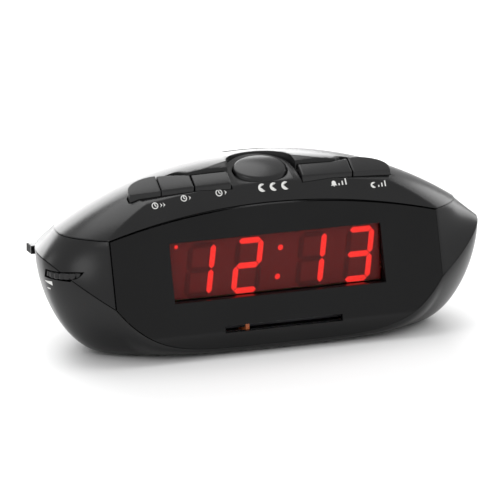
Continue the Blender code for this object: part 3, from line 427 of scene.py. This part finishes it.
# %% Rim and seam
def oval(half, rear, centre_y, front_y, inset, lift, heights):
    """Points from the panel's right corner round the back to its left corner."""
    corner = math.acos(PANEL_HALF / half)
    depth = (centre_y - front_y) / math.sin(corner)
    points = []
    for i in range(AROUND + 1):
        angle = (math.pi + 2 * corner) * i / AROUND - corner
        reach = depth if angle < 0 or angle > math.pi else rear - centre_y
        fall = min(0.0, math.sin(angle)) / math.sin(corner)
        z = heights[0] - (heights[0] - heights[1]) * fall ** 2
        x = (half - inset) * math.cos(angle)
        points.append(Vector((x, centre_y + (reach - inset) * math.sin(angle), z + lift)))
    return points


def rim(inset, lift=0.0, setback=None):
    front = []
    reach = PANEL_HALF if setback is None else PANEL_HALF - inset
    for share in shares:
        z = low_z(share)
        y = face_y(z) + (PROUD if setback is None else setback) + inset
        front.append(Vector((share * reach, y, z + lift)))
    back = oval(TIP, REAR, 0, face_y(KNEE_Z) + PROUD, inset, lift, (RIM_Z, KNEE_Z))
    return front + (back[1:-1] if setback is None else back)


def seam(inset, lift=0.0, setback=None):
    front = []
    reach = PANEL_HALF if setback is None else PANEL_HALF - inset
    for share in shares:
        z = high_z(share)
        y = face_y(z) + (PROUD + 1.5 * MM * (1 - share ** 2) if setback is None else setback) + inset
        front.append(Vector((share * reach, y, z + lift)))
    back = oval(SEAM_TIP, SEAM_REAR, SEAM_Y, face_y(SEAM_Z) + PROUD, inset, lift, (SEAM_Z, SEAM_Z))
    return front + (back[1:-1] if setback is None else back)


print("points in a ring:", len(rim(0)))

# %% [markdown]
# ## The bowl
#
# The bowl rises from a flat base to the rim on a full, rounded flank. It is one closed skin: down the
# outside, across the floor, and up the inside, a wall's thickness away.

# %% Bowl
BASE_Z, BASE_HALF, BASE_FRONT, BASE_REAR = 0.8 * MM, 69.0 * MM, 21.0 * MM, 39.0 * MM


def flank(inset, floor):
    rings = []
    edge = rim(inset)
    for i in range(31):
        row = 1 - (i / 30) ** 0.62 if i < 30 else 0.0
        ring = []
        for point in edge:
            across = max(-1.0, min(1.0, point.x / (TIP - inset)))
            along = math.sqrt(1 - across ** 2)
            y = (BASE_REAR - inset) * along if point.y > 0 else -(BASE_FRONT - inset) * along
            base = Vector(((BASE_HALF - inset) * across, y, floor))
            place = base.lerp(point, (1 - (1 - row) ** 1.75) ** (1 / 1.75))
            place.z = floor + (point.z - floor) * row
            ring.append(place)
        rings.append(ring)
    return rings


bowl = drape("bowl", list(reversed(flank(0, BASE_Z))) + flank(WALL, BASE_Z + WALL))
ease(bowl, 0.25 * MM, 2, 50)
print("bowl:", len(bowl.data.vertices), "points, closed")

# %% [markdown]
# The bowl's openings are cut with simple tools: a drum for each thumbwheel, a box for the battery door,
# drums for the feet and the screw heads, and a box for the mains inlet.

# %% Bowl openings
WHEEL_Z, WHEEL_THICK, WHEEL_R = 34.4 * MM, 2.6 * MM, 10.0 * MM
WHEELS = {"volume_wheel": (-82.3 * MM, -3.0 * MM), "tuning_wheel": (82.4 * MM, 13.0 * MM)}
FEET = {}
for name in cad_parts:
    if name.startswith("foot_"):
        low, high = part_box(name)
        FEET[name] = ((low[0] + high[0]) / 2, (low[1] + high[1]) / 2 - SHIFT)
SCREWS = [(side * x * MM, y * MM) for side in (-1, 1) for x, y in ((63, -2), (36, 30))]


def wheel_rooms():
    middle = WHEEL_Z + WHEEL_THICK / 2
    return [drum("room", WHEEL_R + 0.5 * MM, WHEEL_THICK + MM, (x, y, middle), sides=96)
            for x, y in WHEELS.values()]


carve(bowl, *wheel_rooms())
carve(bowl, block("door room", (56 * MM, 31 * MM, 9 * MM), (0, 9.5 * MM, BASE_Z)))
for x, y in FEET.values():
    carve(bowl, drum("foot room", 5.3 * MM, 1.7 * MM, (x, y, 0.85 * MM), sides=48))
for x, y in SCREWS:
    carve(bowl, drum("screw room", 3.3 * MM, 3.2 * MM, (x, y, BASE_Z), sides=40))
INLET = Vector((-14.0 * MM, 60.0 * MM, 19.0 * MM))
carve(bowl, block("inlet room", (21.6 * MM, 32 * MM, 12.6 * MM), INLET))
knob_low, knob_high = (Vector(end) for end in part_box("switch_knob"))
SWITCH = (knob_low + knob_high) / 2 - Vector((0, SHIFT, 0))
carve(bowl, block("switch room", (28 * MM, 14.6 * MM, 4.0 * MM), SWITCH))
smooth(bowl)
keep(bowl, "case", case_black, "lower_housing")

# %% [markdown]
# ## The band
#
# The band joins bowl and lid. Its sides are ruled straight from rim to seam, which gives the crisp facet
# at each end of the case; its front steps back to seat the panel.

# %% Band
def ruled(inset):
    setback = PANEL_THICK + GAP
    low, high = rim(inset, GAP, setback), seam(inset, -GAP / 2, setback)
    rings = []
    for i in range(13):
        row = (i / 12) ** 1.5
        ring = [a.lerp(b, row) for a, b in zip(low, high)]
        for point in ring[:FRONT + 1]:
            point.y = face_y(point.z) + setback + inset
        rings.append(ring)
    return rings


outer = ruled(0)
band = drape("band", outer + list(reversed(ruled(WALL))) + [outer[0]])
ease(band, 0.25 * MM, 2, 50)
carve(band, *wheel_rooms())
WINDOW_HALF, WINDOW_LOW, WINDOW_HIGH = 45.2 * MM, 23.1 * MM, 46.2 * MM
middle = (WINDOW_LOW + WINDOW_HIGH) / 2
size = (2 * WINDOW_HALF + 0.6 * MM, 30 * MM, WINDOW_HIGH - WINDOW_LOW + 0.6 * MM)
carve(band, block("window room", size, (0, face_y(middle), middle)))
SLOT_HALF, SLOT_Z, SLOT_HIGH = 25.1 * MM, 11.4 * MM, 2.7 * MM
carve(band, block("slot room", (53.2 * MM, 15 * MM, 9.9 * MM), (0, face_y(SLOT_Z), 9.5 * MM)))
smooth(band)
keep(band, "case", case_black, "upper_housing")

# %% [markdown]
# ## The lid and its key tray
#
# The lid is a crown over the seam. The tray is cut into its front: a floor that climbs to the back,
# a round bay behind the snooze key and a leaf-shaped end on each side, all from one outline.

# %% Tray outline
TRAY_Z, TRAY_Y, TRAY_HALF, TRAY_SAG = 64.8 * MM, -6.5 * MM, 61.0 * MM, 4.0 * MM
SNOOZE = Vector((0, 1.8 * MM, 69.45 * MM))
SNOOZE_HALF, SNOOZE_DEEP, SNOOZE_LEAN = 11.35 * MM, 7.2 * MM, 0.427
KEY_DEEP = 5.5 * MM


def sag(x):
    return TRAY_SAG * (x / TRAY_HALF) ** 2


def key_front(x):
    return TRAY_Y + 3.0 * MM * (x / TRAY_HALF) ** 2


def floor_z(x, y):
    return TRAY_Z + 0.40 * (y - TRAY_Y) - sag(x)


def tray_rear(x):
    x = abs(x)
    bay = SNOOZE_HALF + 2.9 * MM
    inner = key_front(x) + KEY_DEEP + 1.0 * MM
    if x < bay:
        return max(inner, SNOOZE.y + (SNOOZE_DEEP + 3.4 * MM) * math.sqrt(1 - (x / bay) ** 2))
    step = min(1.0, max(0.0, (x - 31 * MM) / (5 * MM)))
    leaf = math.sqrt(max(0.0, 1 - (max(0.0, x - 36 * MM) / (TRAY_HALF - 36 * MM)) ** 2))
    outer = key_front(TRAY_HALF) - 0.4 * MM + 8.0 * MM * leaf
    return inner + (outer - inner) * step * step * (3 - 2 * step)


def tray_tool(name, margin, drop):
    """A block that stands on the tray's floor and has the tray's outline."""
    slices = []
    for i in range(161):
        x = TRAY_HALF * math.sin(math.pi * (i / 160 - 0.5)) * 0.35 + TRAY_HALF * (i / 80 - 1) * 0.65
        reach = x * (1 + margin / TRAY_HALF)
        front, rear = TRAY_Y - 12 * MM, tray_rear(x) + margin
        slices.append([Vector((reach, front, floor_z(x, front) + drop)),
                       Vector((reach, rear, floor_z(x, rear) + drop)),
                       Vector((reach, rear, 0.1)), Vector((reach, front, 0.1))])
    return drape(name, slices)


print("tray is", round(2 * TRAY_HALF / MM), "mm long")


# %% Lid
def crown(inset):
    top = CREST - Vector((0, 0, inset))
    edge = seam(inset, GAP / 2)
    rings = []
    for i in range(34):
        reach = 1 - (i / 33) ** 1.4
        ring = []
        for point in edge:
            place = top.lerp(point, reach)
            place.z = point.z + (top.z - point.z) * (1 - reach ** 2.3)
            ring.append(place)
        rings.append(ring)
    return rings


def level(ring, z):
    return [Vector((point.x, point.y, z)) for point in ring]


brim = seam(WALL + GAP, GAP / 2)
lid = drape("lid", [level(brim, SEAM_Z - 4 * MM), brim] + crown(0))
ease(lid, 0.3 * MM, 2, 50)
hollow = drape("hollow", [level(crown(WALL)[0], SEAM_Z - 8 * MM)] + crown(WALL))
carve(hollow, tray_tool("tray pad", WALL, -2.2 * MM))
carve(lid, hollow)
carve(lid, tray_tool("tray", 0, 0))
print("lid with its tray:", len(lid.data.polygons), "faces")

# %% [markdown]
# ## The keys
#
# Five small keys follow the tray's bow; the outer one of each row ends in a leaf point. Each is draped
# over slices of its outline, flat underneath and sloping up on top, then its edges are rounded. The same
# slices, a little larger, cut the key's hole in the tray.

# %% Small keys
KEYS = {
    "time_key": (-15.2 * MM, -30.4 * MM, False),
    "minute_key": (-30.8 * MM, -44.4 * MM, False),
    "hour_key": (-44.8 * MM, -57.6 * MM, True),
    "alarm_key": (15.2 * MM, 37.2 * MM, False),
    "sleep_key": (37.6 * MM, 54.0 * MM, True),
}


def key_top(x, y):
    return TRAY_Z + 1.5 * MM + 0.664 * (y - TRAY_Y) - sag(x)


def key_slices(inner, outer, leaf, grow, base, top=None):
    slices = []
    for i in range(25):
        share = math.sin(i / 24 * math.pi / 2) if leaf else i / 24
        x = inner + (outer - inner) * share
        deep = KEY_DEEP + 1.3 * MM * min(1.0, max(0.0, (abs(x) - 30 * MM) / (12 * MM)))
        if leaf:
            deep *= 0.22 + 0.78 * math.sqrt(max(0.0, 1 - share ** 2))
        x += math.copysign(1, outer) * grow * (2 * share - 1)
        front, rear = key_front(x) - grow, key_front(x) + deep + grow
        high = [top if top else key_top(x, y) for y in (front, rear)]
        slices.append([Vector((x, front, base)), Vector((x, rear, base)),
                       Vector((x, rear, high[1])), Vector((x, front, high[0]))])
    return slices


for name, (inner, outer, leaf) in KEYS.items():
    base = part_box(name)[0][2]
    key = drape(name + "_cap", key_slices(inner, outer, leaf, 0, base))
    ease(key, 0.55 * MM, 4, 50)
    smooth(key, 50)
    keep(key, name, key_black, name)
    carve(lid, drape("key room", key_slices(inner, outer, leaf, 0.4 * MM, base + 1.5 * MM, 75 * MM)))

# %% [markdown]
# The snooze key is the one a sleepy hand must find: a wide oval button with a low dome, standing in its
# bay. A cylinder is squeezed to the oval, its top leans with the lid, and insets raise the dome.


# %% Snooze key
def oval_button(name, grow, low, dome):
    x, y, z = SNOOZE
    button = drum(name, 1, 1, (0, y, 0.5), sides=96)
    edit(button, "FACE")
    bpy.ops.object.mode_set(mode="OBJECT")
    for face in button.data.polygons:
        face.select = face.normal.z > 0.9
    bpy.ops.object.mode_set(mode="EDIT")
    for _ in range(14 if dome else 0):
        bpy.ops.mesh.inset(thickness=1 / 15, depth=0)
    bpy.ops.object.mode_set(mode="OBJECT")
    for point in button.data.vertices:
        flat = Vector((point.co.x, point.co.y - y - SHIFT))
        reach = min(1.0, flat.length)
        lip = 0.5 * MM * max(0.0, (reach - 0.93) / 0.07) ** 2
        rise = z + dome * (1 - reach ** 2) - lip + SNOOZE_LEAN * (SNOOZE_DEEP + grow) * flat.y
        point.co.z = (rise if dome else 80 * MM) if point.co.z > 0.5 else low
        point.co.x = (SNOOZE_HALF + grow) * flat.x
        point.co.y = y + SHIFT + (SNOOZE_DEEP + grow) * flat.y
    return button


snooze = oval_button("snooze_cap", 0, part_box("snooze_key")[0][2], 1.15 * MM)
ease(snooze, 0.5 * MM, 4, 45)
smooth(snooze, 60)
keep(snooze, "snooze_key", key_black, "snooze_key")
carve(lid, oval_button("snooze room", 0.4 * MM, 52 * MM, 0))

# %% [markdown]
# ## The speaker grille
#
# The speaker sounds through seven slots in the lid's rear slope, the longest in the middle. Box cutters
# make them. Then the lid's edges are rounded all together, so that the tray's rim catches the light.

# %% Grille and lid finish
for row in range(-3, 4):
    offset = row * 5 * MM
    half = math.sqrt((17.5 * MM) ** 2 - offset ** 2)
    place = (0, 33 * MM + offset * math.cos(math.radians(26)), 73.5 * MM)
    carve(lid, block("slot", (2 * half, 2.2 * MM, 60 * MM), place))
ease(lid, 0.3 * MM, 2, 48)
smooth(lid, 40)
keep(lid, "case", case_black, "top_cover")

# %% [markdown]
# ## The front panel
#
# The panel is a polished plate with rounded edges that sits just behind the band. Its upper edge follows
# the arch of the lid, its lower corners turn up, and its chin rolls under. The window and the tuning slot
# are cut through it, and every edge is rounded, because a polished edge is what shows most.

# %% Front panel
rings = []
for i in range(34):
    row = (i / 33) ** 1.3
    sheet = []
    for share in shares:
        z = low_z(share) + GAP + (high_z(share) - low_z(share) - 2 * GAP) * row
        sheet.append(Vector((share * (PANEL_HALF - GAP), face_y(z), z)))
    back = [point + Vector((0, PANEL_THICK, 0)) for point in reversed(sheet)]
    rings.append(sheet + back)
panel = drape("panel", rings)
window = (2 * WINDOW_HALF, 30 * MM, WINDOW_HIGH - WINDOW_LOW)
carve(panel, block("window", window, (0, face_y(middle), middle)))
carve(panel, block("slot", (2 * SLOT_HALF, 30 * MM, SLOT_HIGH), (0, face_y(SLOT_Z), SLOT_Z)))
ease(panel, 0.55 * MM, 4, 50)
smooth(panel, 40)
keep(panel, "case", panel_gloss, "front_panel")

# %% [markdown]
# ## The display
#
# Behind the tinted window stands a display block with seven-segment digits. A segment is a long hexagon:
# a six-sided cylinder stretched until two of its corners are the points. The digits lean to the right,
# as such displays do, and the reading is the generic 12:13. Unlit segments stay visible as darker bars.

# %% Display plane
def window_y(z):
    """The window's leaning face."""
    low, high = face_y(WINDOW_LOW) + 4.2 * MM, face_y(WINDOW_HIGH) + 1.0 * MM
    return low + (high - low) * (z - WINDOW_LOW) / (WINDOW_HIGH - WINDOW_LOW)


DIGIT_Z, DIGIT_SLANT, STROKE = 34.0 * MM, 0.172, 2.25 * MM
DIGIT_HALF, DIGIT_RISE = 4.85 * MM, 9.75 * MM


def on_display(x, z, lift):
    """A point of the upright drawing, leant over and laid on the display block."""
    return Vector((x + DIGIT_SLANT * (z - DIGIT_Z), window_y(z) + 1.5 * MM - lift + SHIFT, z))


def segment(x, z, length, upright):
    rest()
    bpy.ops.mesh.primitive_cylinder_add(vertices=6, radius=1, depth=2)
    bar = bpy.context.object
    for point in bar.data.vertices:
        tip = abs(point.co.y) > 0.9
        along = math.copysign(length / 2 - (0 if tip else STROKE / 2), point.co.y)
        across = 0 if tip else math.copysign(STROKE / 2, point.co.x)
        lift = 0.14 * MM if point.co.z > 0 else 0.01 * MM
        spot = (x + across, z + along) if upright else (x + along, z + across)
        point.co = on_display(*spot, lift)
    return bar


def join(name, parts):
    pick(parts[0])
    for part in parts[1:]:
        part.select_set(True)
    if len(parts) > 1:
        bpy.ops.object.join()
    parts[0].name = name
    edit(parts[0])
    bpy.ops.mesh.select_all(action="SELECT")
    bpy.ops.mesh.normals_make_consistent(inside=False)
    bpy.ops.object.mode_set(mode="OBJECT")
    return parts[0]


# %% Digits
STROKES = {                     # across, up, upright
    "top": (0, 1, False), "middle": (0, 0, False), "foot": (0, -1, False),
    "high_left": (-1, 0.5, True), "high_right": (1, 0.5, True),
    "low_left": (-1, -0.5, True), "low_right": (1, -0.5, True),
}
ONE = {"high_right", "low_right"}
TWO = {"top", "high_right", "middle", "low_left", "foot"}
THREE = {"top", "high_right", "middle", "low_right", "foot"}
READING = {"ten_hours": (-32.0 * MM, ONE), "hours": (-11.7 * MM, TWO),
           "ten_minutes": (15.5 * MM, ONE), "minutes": (36.0 * MM, THREE)}

for name, (centre, lit) in READING.items():
    on, off = [], []
    for stroke, (across, up, upright) in STROKES.items():
        length = DIGIT_RISE - 0.35 * MM if upright else 2 * DIGIT_HALF - 0.35 * MM
        bar = segment(centre + across * DIGIT_HALF, DIGIT_Z + up * DIGIT_RISE, length, upright)
        (on if stroke in lit else off).append(bar)
    keep(join("digit_" + name, on), "case", segment_lit)
    keep(join("unlit_" + name, off), "case", segment_dark)


# %% Colon and alarm dot
def dot(x, z, radius):
    rest()
    bpy.ops.mesh.primitive_cylinder_add(vertices=24, radius=radius, depth=2)
    spot = bpy.context.object
    for point in spot.data.vertices:
        lift = 0.14 * MM if point.co.z > 0 else 0.01 * MM
        point.co = on_display(x + point.co.x, z + point.co.y, lift)
    return spot


colon = [dot(1.8 * MM, DIGIT_Z + rise * MM, 1.1 * MM) for rise in (5.7, -5.7)]
keep(join("colon", colon), "case", segment_lit)
alarm = dot(-43.2 * MM, DIGIT_Z + 10.0 * MM, 0.75 * MM)
keep(alarm, "case", segment_lit).name = "alarm_dot"
print("the display reads 12:13")

# %% [markdown]
# ## The tuning scale
#
# A dark strip stands behind the slot, printed with a plain scale of long and short strokes. The orange
# pointer runs in front of it. One stroke is modelled, and the rest are copies.

# %% Tuning scale
strip_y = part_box("scale_plate")[0][1] - SHIFT
ticks = []
for i in range(25):
    tall = 1.5 * MM if i % 4 == 0 else 0.8 * MM
    place = ((i - 12) * 1.9 * MM, strip_y - 0.03 * MM, 12.4 * MM - tall / 2)
    ticks.append(block("tick", (0.32 * MM, 0.06 * MM, tall), place))
keep(join("scale_strokes", ticks), "case", print_white)

# %% [markdown]
# ## Thumbwheels
#
# Only a slice of each wheel shows, so its ribs have to be right. One ring of points with rounded ribs is
# draped into a disc, its rims are rounded, and a bore lets the control's shaft through.


# %% Thumbwheels
def ribbed(radius, x, y, z):
    ring = []
    for i in range(24 * 8):
        angle = 2 * math.pi * (i / 192)
        wave = 0.5 + 0.5 * math.cos(2 * math.pi * (i % 8) / 8 - math.pi / 4)
        reach = radius - 0.5 * MM * (1 - wave ** 0.6)
        ring.append(Vector((x + reach * math.cos(angle), y + reach * math.sin(angle), z)))
    return ring


for name, (x, y) in WHEELS.items():
    steps = ((-0.4, 0), (0, 0.35), (0, WHEEL_THICK / MM - 0.35), (-0.4, WHEEL_THICK / MM))
    wheel = drape(name + "_ribs", [ribbed(WHEEL_R + inset * MM, x, y, WHEEL_Z + rise * MM)
                                   for inset, rise in steps])
    carve(wheel, drum("bore", 2.3 * MM, 10 * MM, (x, y, WHEEL_Z), sides=48))
    smooth(wheel, 40)
    keep(wheel, name, key_black, name)

# %% [markdown]
# ## Slide switch, feet, door and screws
#
# The knob of the slide switch has three grip grooves across its tip. The feet are soft buttons with a
# rounded edge. The battery door has a row of grip ridges by its free edge.

# %% Slide switch
knob = block("switch_grip", knob_high - knob_low, SWITCH)
for step in (-1.4, 0, 1.4):
    carve(knob, block("groove", (0.8 * MM, 0.6 * MM, 6 * MM), (knob_low.x, SWITCH.y + step * MM, SWITCH.z)))
ease(knob, 0.25 * MM, 3, 50)
smooth(knob, 50)
keep(knob, "switch_knob", key_black, "switch_knob")

# %% Feet
for name, (x, y) in FEET.items():
    pad = drum(name + "_pad", 5.0 * MM, 1.4 * MM, (x, y, 0.7 * MM), sides=56)
    ring = drum("ring", 3.4 * MM, 0.6 * MM, (x, y, 0), sides=48)
    carve(ring, drum("core", 2.8 * MM, 2 * MM, (x, y, 0), sides=48))
    carve(pad, ring)
    ease(pad, 0.25 * MM, 3, 50)
    smooth(pad, 45)
    keep(pad, "case", rubber, name)

# %% Battery door
low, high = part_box("battery_door")
size = [b - a for a, b in zip(low, high)]
door = block("battery_flap", size, (0, (low[1] + high[1]) / 2 - SHIFT, (low[2] + high[2]) / 2))
for i in range(6):
    place = (0, low[1] - SHIFT + (3 + 1.3 * i) * MM, low[2])
    carve(door, block("grip", (18 * MM, 0.6 * MM, 0.7 * MM), place))
ease(door, 0.2 * MM, 2, 50)
smooth(door)
keep(door, "battery_door", case_black, "battery_door")

# %% Screws
for number in range(1, 5):
    name = "housing_screw_" + str(number)
    low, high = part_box(name)
    x, y = (low[0] + high[0]) / 2, (low[1] + high[1]) / 2 - SHIFT
    screw = drum(name + "_head", 3.0 * MM, 1.2 * MM, (x, y, low[2] + 0.6 * MM), sides=48)
    place = (x, y, (low[2] + high[2] + 0.6 * MM) / 2)
    shank = drum("shank", 1.5 * MM, high[2] - low[2] - 0.6 * MM, place, sides=32)
    carve(screw, shank, operation="UNION")
    for turn in (0, math.pi / 2):
        carve(screw, block("drive", (0.8 * MM, 3.6 * MM, 1.4 * MM), (x, y, low[2]), (0, 0, turn)))
    ease(screw, 0.12 * MM, 2, 50)
    smooth(screw, 45)
    keep(screw, "case", steel, name)

# %% [markdown]
# ## The mains inlet
#
# The lead plugs into a two-pin socket in the back. Its mouth has rounded corners and a flared lip, and
# the pins are steel with rounded tips, so they are pieces of their own.

# %% Mains inlet
inlet = block("inlet_shell", (21 * MM, 16 * MM, 12 * MM), INLET - Vector((0, 8 * MM, 0)))
mouth = block("mouth", (15 * MM, 20 * MM, 7.5 * MM), INLET)
modify(mouth, "BEVEL", width=2.5 * MM, segments=5, limit_method="ANGLE", angle_limit=math.radians(40))
carve(inlet, mouth)
ease(inlet, 0.3 * MM, 2, 50)
smooth(inlet)
keep(inlet, "case", case_black, "mains_inlet")
for side in (-1, 1):
    place = INLET + Vector((side * 4.3 * MM, -6.0 * MM, 0))
    pin = drum("inlet_pin", 1.2 * MM, 8.0 * MM, place, (math.pi / 2, 0, 0), sides=32)
    ease(pin, 0.6 * MM, 4, 50)
    smooth(pin, 60)
    keep(pin, "case", steel).name = "inlet_pin_" + ("left" if side < 0 else "right")

# %% [markdown]
# ## Printed marks
#
# Small white pictograms tell the keys apart: a clock face with arrowheads for setting, a bell for the
# alarm and a crescent for sleep. Each is drawn flat and divided into small faces. Every corner is then
# laid on the curved lid by casting a ray at it, and the whole is given the thickness of ink.


# %% Outlines
def arc(radius, start, stop, steps=20, centre=(0, 0)):
    turns = [start + (stop - start) * i / steps for i in range(steps + 1)]
    return [(centre[0] + radius * math.cos(t), centre[1] + radius * math.sin(t)) for t in turns]


def ring_mark(radius, width):
    start, stop = 0.02, 2 * math.pi - 0.02
    return arc(radius, start, stop, 40) + list(reversed(arc(radius - width, start, stop, 40)))


def bar_mark(x0, y0, x1, y1, width):
    along = Vector((x1 - x0, y1 - y0)).normalized() * width / 2
    side = Vector((-along.y, along.x))
    return [(x0 + side.x, y0 + side.y), (x0 - side.x, y0 - side.y),
            (x1 - side.x, y1 - side.y), (x1 + side.x, y1 + side.y)]


def arrow_mark(x, size):
    return [(x, -size), (x + size, 0), (x, size), (x + 0.45 * size, 0)]


CLOCK = [ring_mark(1.15, 0.3), bar_mark(0, 0, 0, 0.75, 0.3), bar_mark(0, 0, 0.5, -0.25, 0.3)]
MOON = [arc(1.15, 0.9, 5.38, 24) + list(reversed(arc(0.95, 1.25, 5.03, 24, (0.42, 0))))]
BELL = [arc(0.75, 0, math.pi, 14, (0, 0.2)) + [(-0.8, -0.45), (-1.15, -0.8), (1.15, -0.8), (0.8, -0.45)],
        arc(0.28, math.pi, 2 * math.pi, 8, (0, -0.9))]


def shifted(marks, x):
    return [[(u + x, v) for u, v in outline] for outline in marks]


def stamp(name, marks, spot, scale=1.0):
    """Lays outlines, in mm, where spot(u, v) says, and thickens them to ink."""
    parts = []
    for outline in marks:
        rest()
        bpy.ops.mesh.primitive_circle_add(vertices=len(outline), radius=1, fill_type="NGON")
        patch = bpy.context.object
        for point, (u, v) in zip(patch.data.vertices, outline):
            point.co = (u, v, 0)
        pick(patch)
        bpy.ops.object.mode_set(mode="EDIT")
        bpy.ops.mesh.select_all(action="SELECT")
        bpy.ops.mesh.quads_convert_to_tris()
        bpy.ops.mesh.subdivide(number_cuts=2)
        bpy.ops.object.mode_set(mode="OBJECT")
        for point in patch.data.vertices:
            point.co = spot(point.co.x * scale * MM, point.co.y * scale * MM)
        parts.append(modify(patch, "SOLIDIFY", thickness=0.05 * MM, offset=0))
    keep(join(name, parts), "case", print_white)


def on_lid(x, z):
    """Lays a mark, drawn upright, on the lid's front slope at (x, z)."""
    def spot(u, v):
        start = Vector((x + u, -0.2, z + 0.85 * v))
        hit, place, normal, _ = lid.ray_cast(start, Vector((0, 1, 0)))
        return place + 0.03 * MM * normal
    return spot


# %% Marks under the keys
stamp("mark_hour", CLOCK + [arrow_mark(1.8, 0.8), arrow_mark(2.8, 0.8)], on_lid(-48.6 * MM, 60.5 * MM), 1.2)
stamp("mark_minute", CLOCK + [arrow_mark(1.8, 0.8)], on_lid(-36.0 * MM, 62.1 * MM), 1.15)
stamp("mark_time", CLOCK + [arrow_mark(1.8, 0.8)], on_lid(-20.9 * MM, 62.8 * MM), 1.25)
bars = [bar_mark(1.9 + 1.3 * i, -0.9, 1.9 + 1.3 * i, -0.9 + 0.75 * (i + 1), 0.45) for i in range(3)]
moons = shifted(MOON, -4.5) + shifted(MOON, -1.2) + shifted(MOON, 2.1)
stamp("mark_snooze", moons, on_lid(4.4 * MM, 63.1 * MM), 1.5)
stamp("mark_alarm", BELL + bars, on_lid(28.2 * MM, 62.2 * MM), 1.15)
stamp("mark_sleep", MOON + bars, on_lid(45.0 * MM, 60.2 * MM), 1.1)


# %% Marks by the volume wheel
def on_flank(y, z):
    def spot(u, v):
        start = Vector((-0.2, y - u + SHIFT, z + v))
        hit, place, normal, _ = bowl.ray_cast(start, Vector((1, 0, 0)))
        return place + 0.03 * MM * normal
    return spot


wedge = [[(-2.6, -0.15), (2.4, -1.0), (2.4, 0.7), (-2.6, 0.05)]]
stamp("mark_volume", wedge, on_flank(-3.4 * MM, 32.2 * MM))
stamp("mark_volume_foot", [bar_mark(-1.2, 0, 0.9, 0, 0.5)], on_flank(-3.0 * MM, 29.4 * MM))

# %% [markdown]
# ## Finishes for the frame's own solids
#
# The flat pieces inside keep their solids. Each gets the finish of what it is: boards with their tracks,
# the speaker's steel and ferrite, copper windings and iron laminations.

# %% Inner finishes
for names, look in (
    (("key_board", "main_board", "display_board", "volume_board", "tuning_board"), circuit),
    (("led_display",), display_red),
    (("display_filter",), window_red),
    (("scale_plate",), scale_black),
    (("dial_pointer",), pointer_orange),
    (("pointer_rail", "volume_control", "battery_clip", "speaker"), steel),
    (("tuning_capacitor", "snooze_switch", "hour_switch", "minute_switch", "time_switch", "alarm_switch",
      "sleep_switch"), grey_plastic),
    (("transformer_core", "function_switch"), iron),
    (("transformer_winding", "antenna_coil"), copper),
    (("ferrite_rod", "speaker_magnet"), ferrite),
    (("backup_battery",), sleeve),
    (("battery_box",), inner_black),
):
    for name in names:
        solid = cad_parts[name]
        for entry in solid.material_slots:
            entry.material = look
print("finished", len(pieces), "new pieces")

# %% [markdown]
# ## Floor, light and camera
#
# Glossy black plastic shows its surroundings more than itself, so the studio is mostly white: a pale
# floor, a white room, and four soft panels. The rear one is low, so that the lid's crest meets it at a
# glancing angle and fades to light; the others open up the keys, the right end and the front.

# %% Floor and room
rest()
bpy.ops.mesh.primitive_plane_add(size=8)
floor = bpy.context.object
floor.name = "studio_floor"
paint = Finish("studio floor paint", (0.86, 0.86, 0.86), 0.6)
paint.set("Base Color", paint.mix(paint.noise(3), (0.85, 0.85, 0.85), (0.88, 0.88, 0.88)))
floor.data.materials.append(paint.material)

room = bpy.data.worlds.new("white room")
bpy.context.scene.world = room
room.use_nodes = True
room.node_tree.nodes["Background"].inputs["Color"].default_value = (1, 1, 1, 1)
room.node_tree.nodes["Background"].inputs["Strength"].default_value = 0.85


# %% Soft panels
def aim(thing, place, target):
    thing.location = place
    thing.rotation_euler = (Vector(target) - Vector(place)).to_track_quat("-Z", "Y").to_euler()


def soft_panel(name, place, size, power):
    light = bpy.data.lights.new(name, "AREA")
    light.shape = "DISK"
    light.size = size
    light.energy = power
    lamp = bpy.data.objects.new(name, light)
    bpy.context.collection.objects.link(lamp)
    aim(lamp, place, (0, 0, 0.035))


soft_panel("overhead panel", (0.0, 0.5, 1.6), 1.4, 12)
soft_panel("rear panel", (0.2, 1.7, 0.75), 1.6, 24)
soft_panel("side panel", (1.5, 0.7, 0.6), 0.9, 6)
soft_panel("front panel light", (-0.9, -1.3, 1.2), 0.8, 3)

# %% [markdown]
# The view transform turns light into screen colours. Blender's default rolls bright colours off, as film
# does, which would turn the display's pure red to salmon. Standard keeps a colour as it was mixed.

# %% View transform
bpy.context.scene.view_settings.view_transform = "Standard"
print("view transform:", bpy.context.scene.view_settings.view_transform)

# %% Camera
CAMERA_DISTANCE = 2.511
turn, rise = math.radians(21.13), math.radians(15.31)
forward = Vector((math.sin(turn) * math.cos(rise), math.cos(turn) * math.cos(rise), -math.sin(rise)))
target = Vector((0, SHIFT, 36.8 * MM))
lens = bpy.data.cameras.new("studio camera")
lens.sensor_width = 36
lens.lens = 450
lens.shift_x, lens.shift_y = -0.0228, -0.0072
lens.clip_end = 50
camera = bpy.data.objects.new("studio camera", lens)
bpy.context.collection.objects.link(camera)
aim(camera, target - forward * CAMERA_DISTANCE, target)
bpy.context.scene.camera = camera
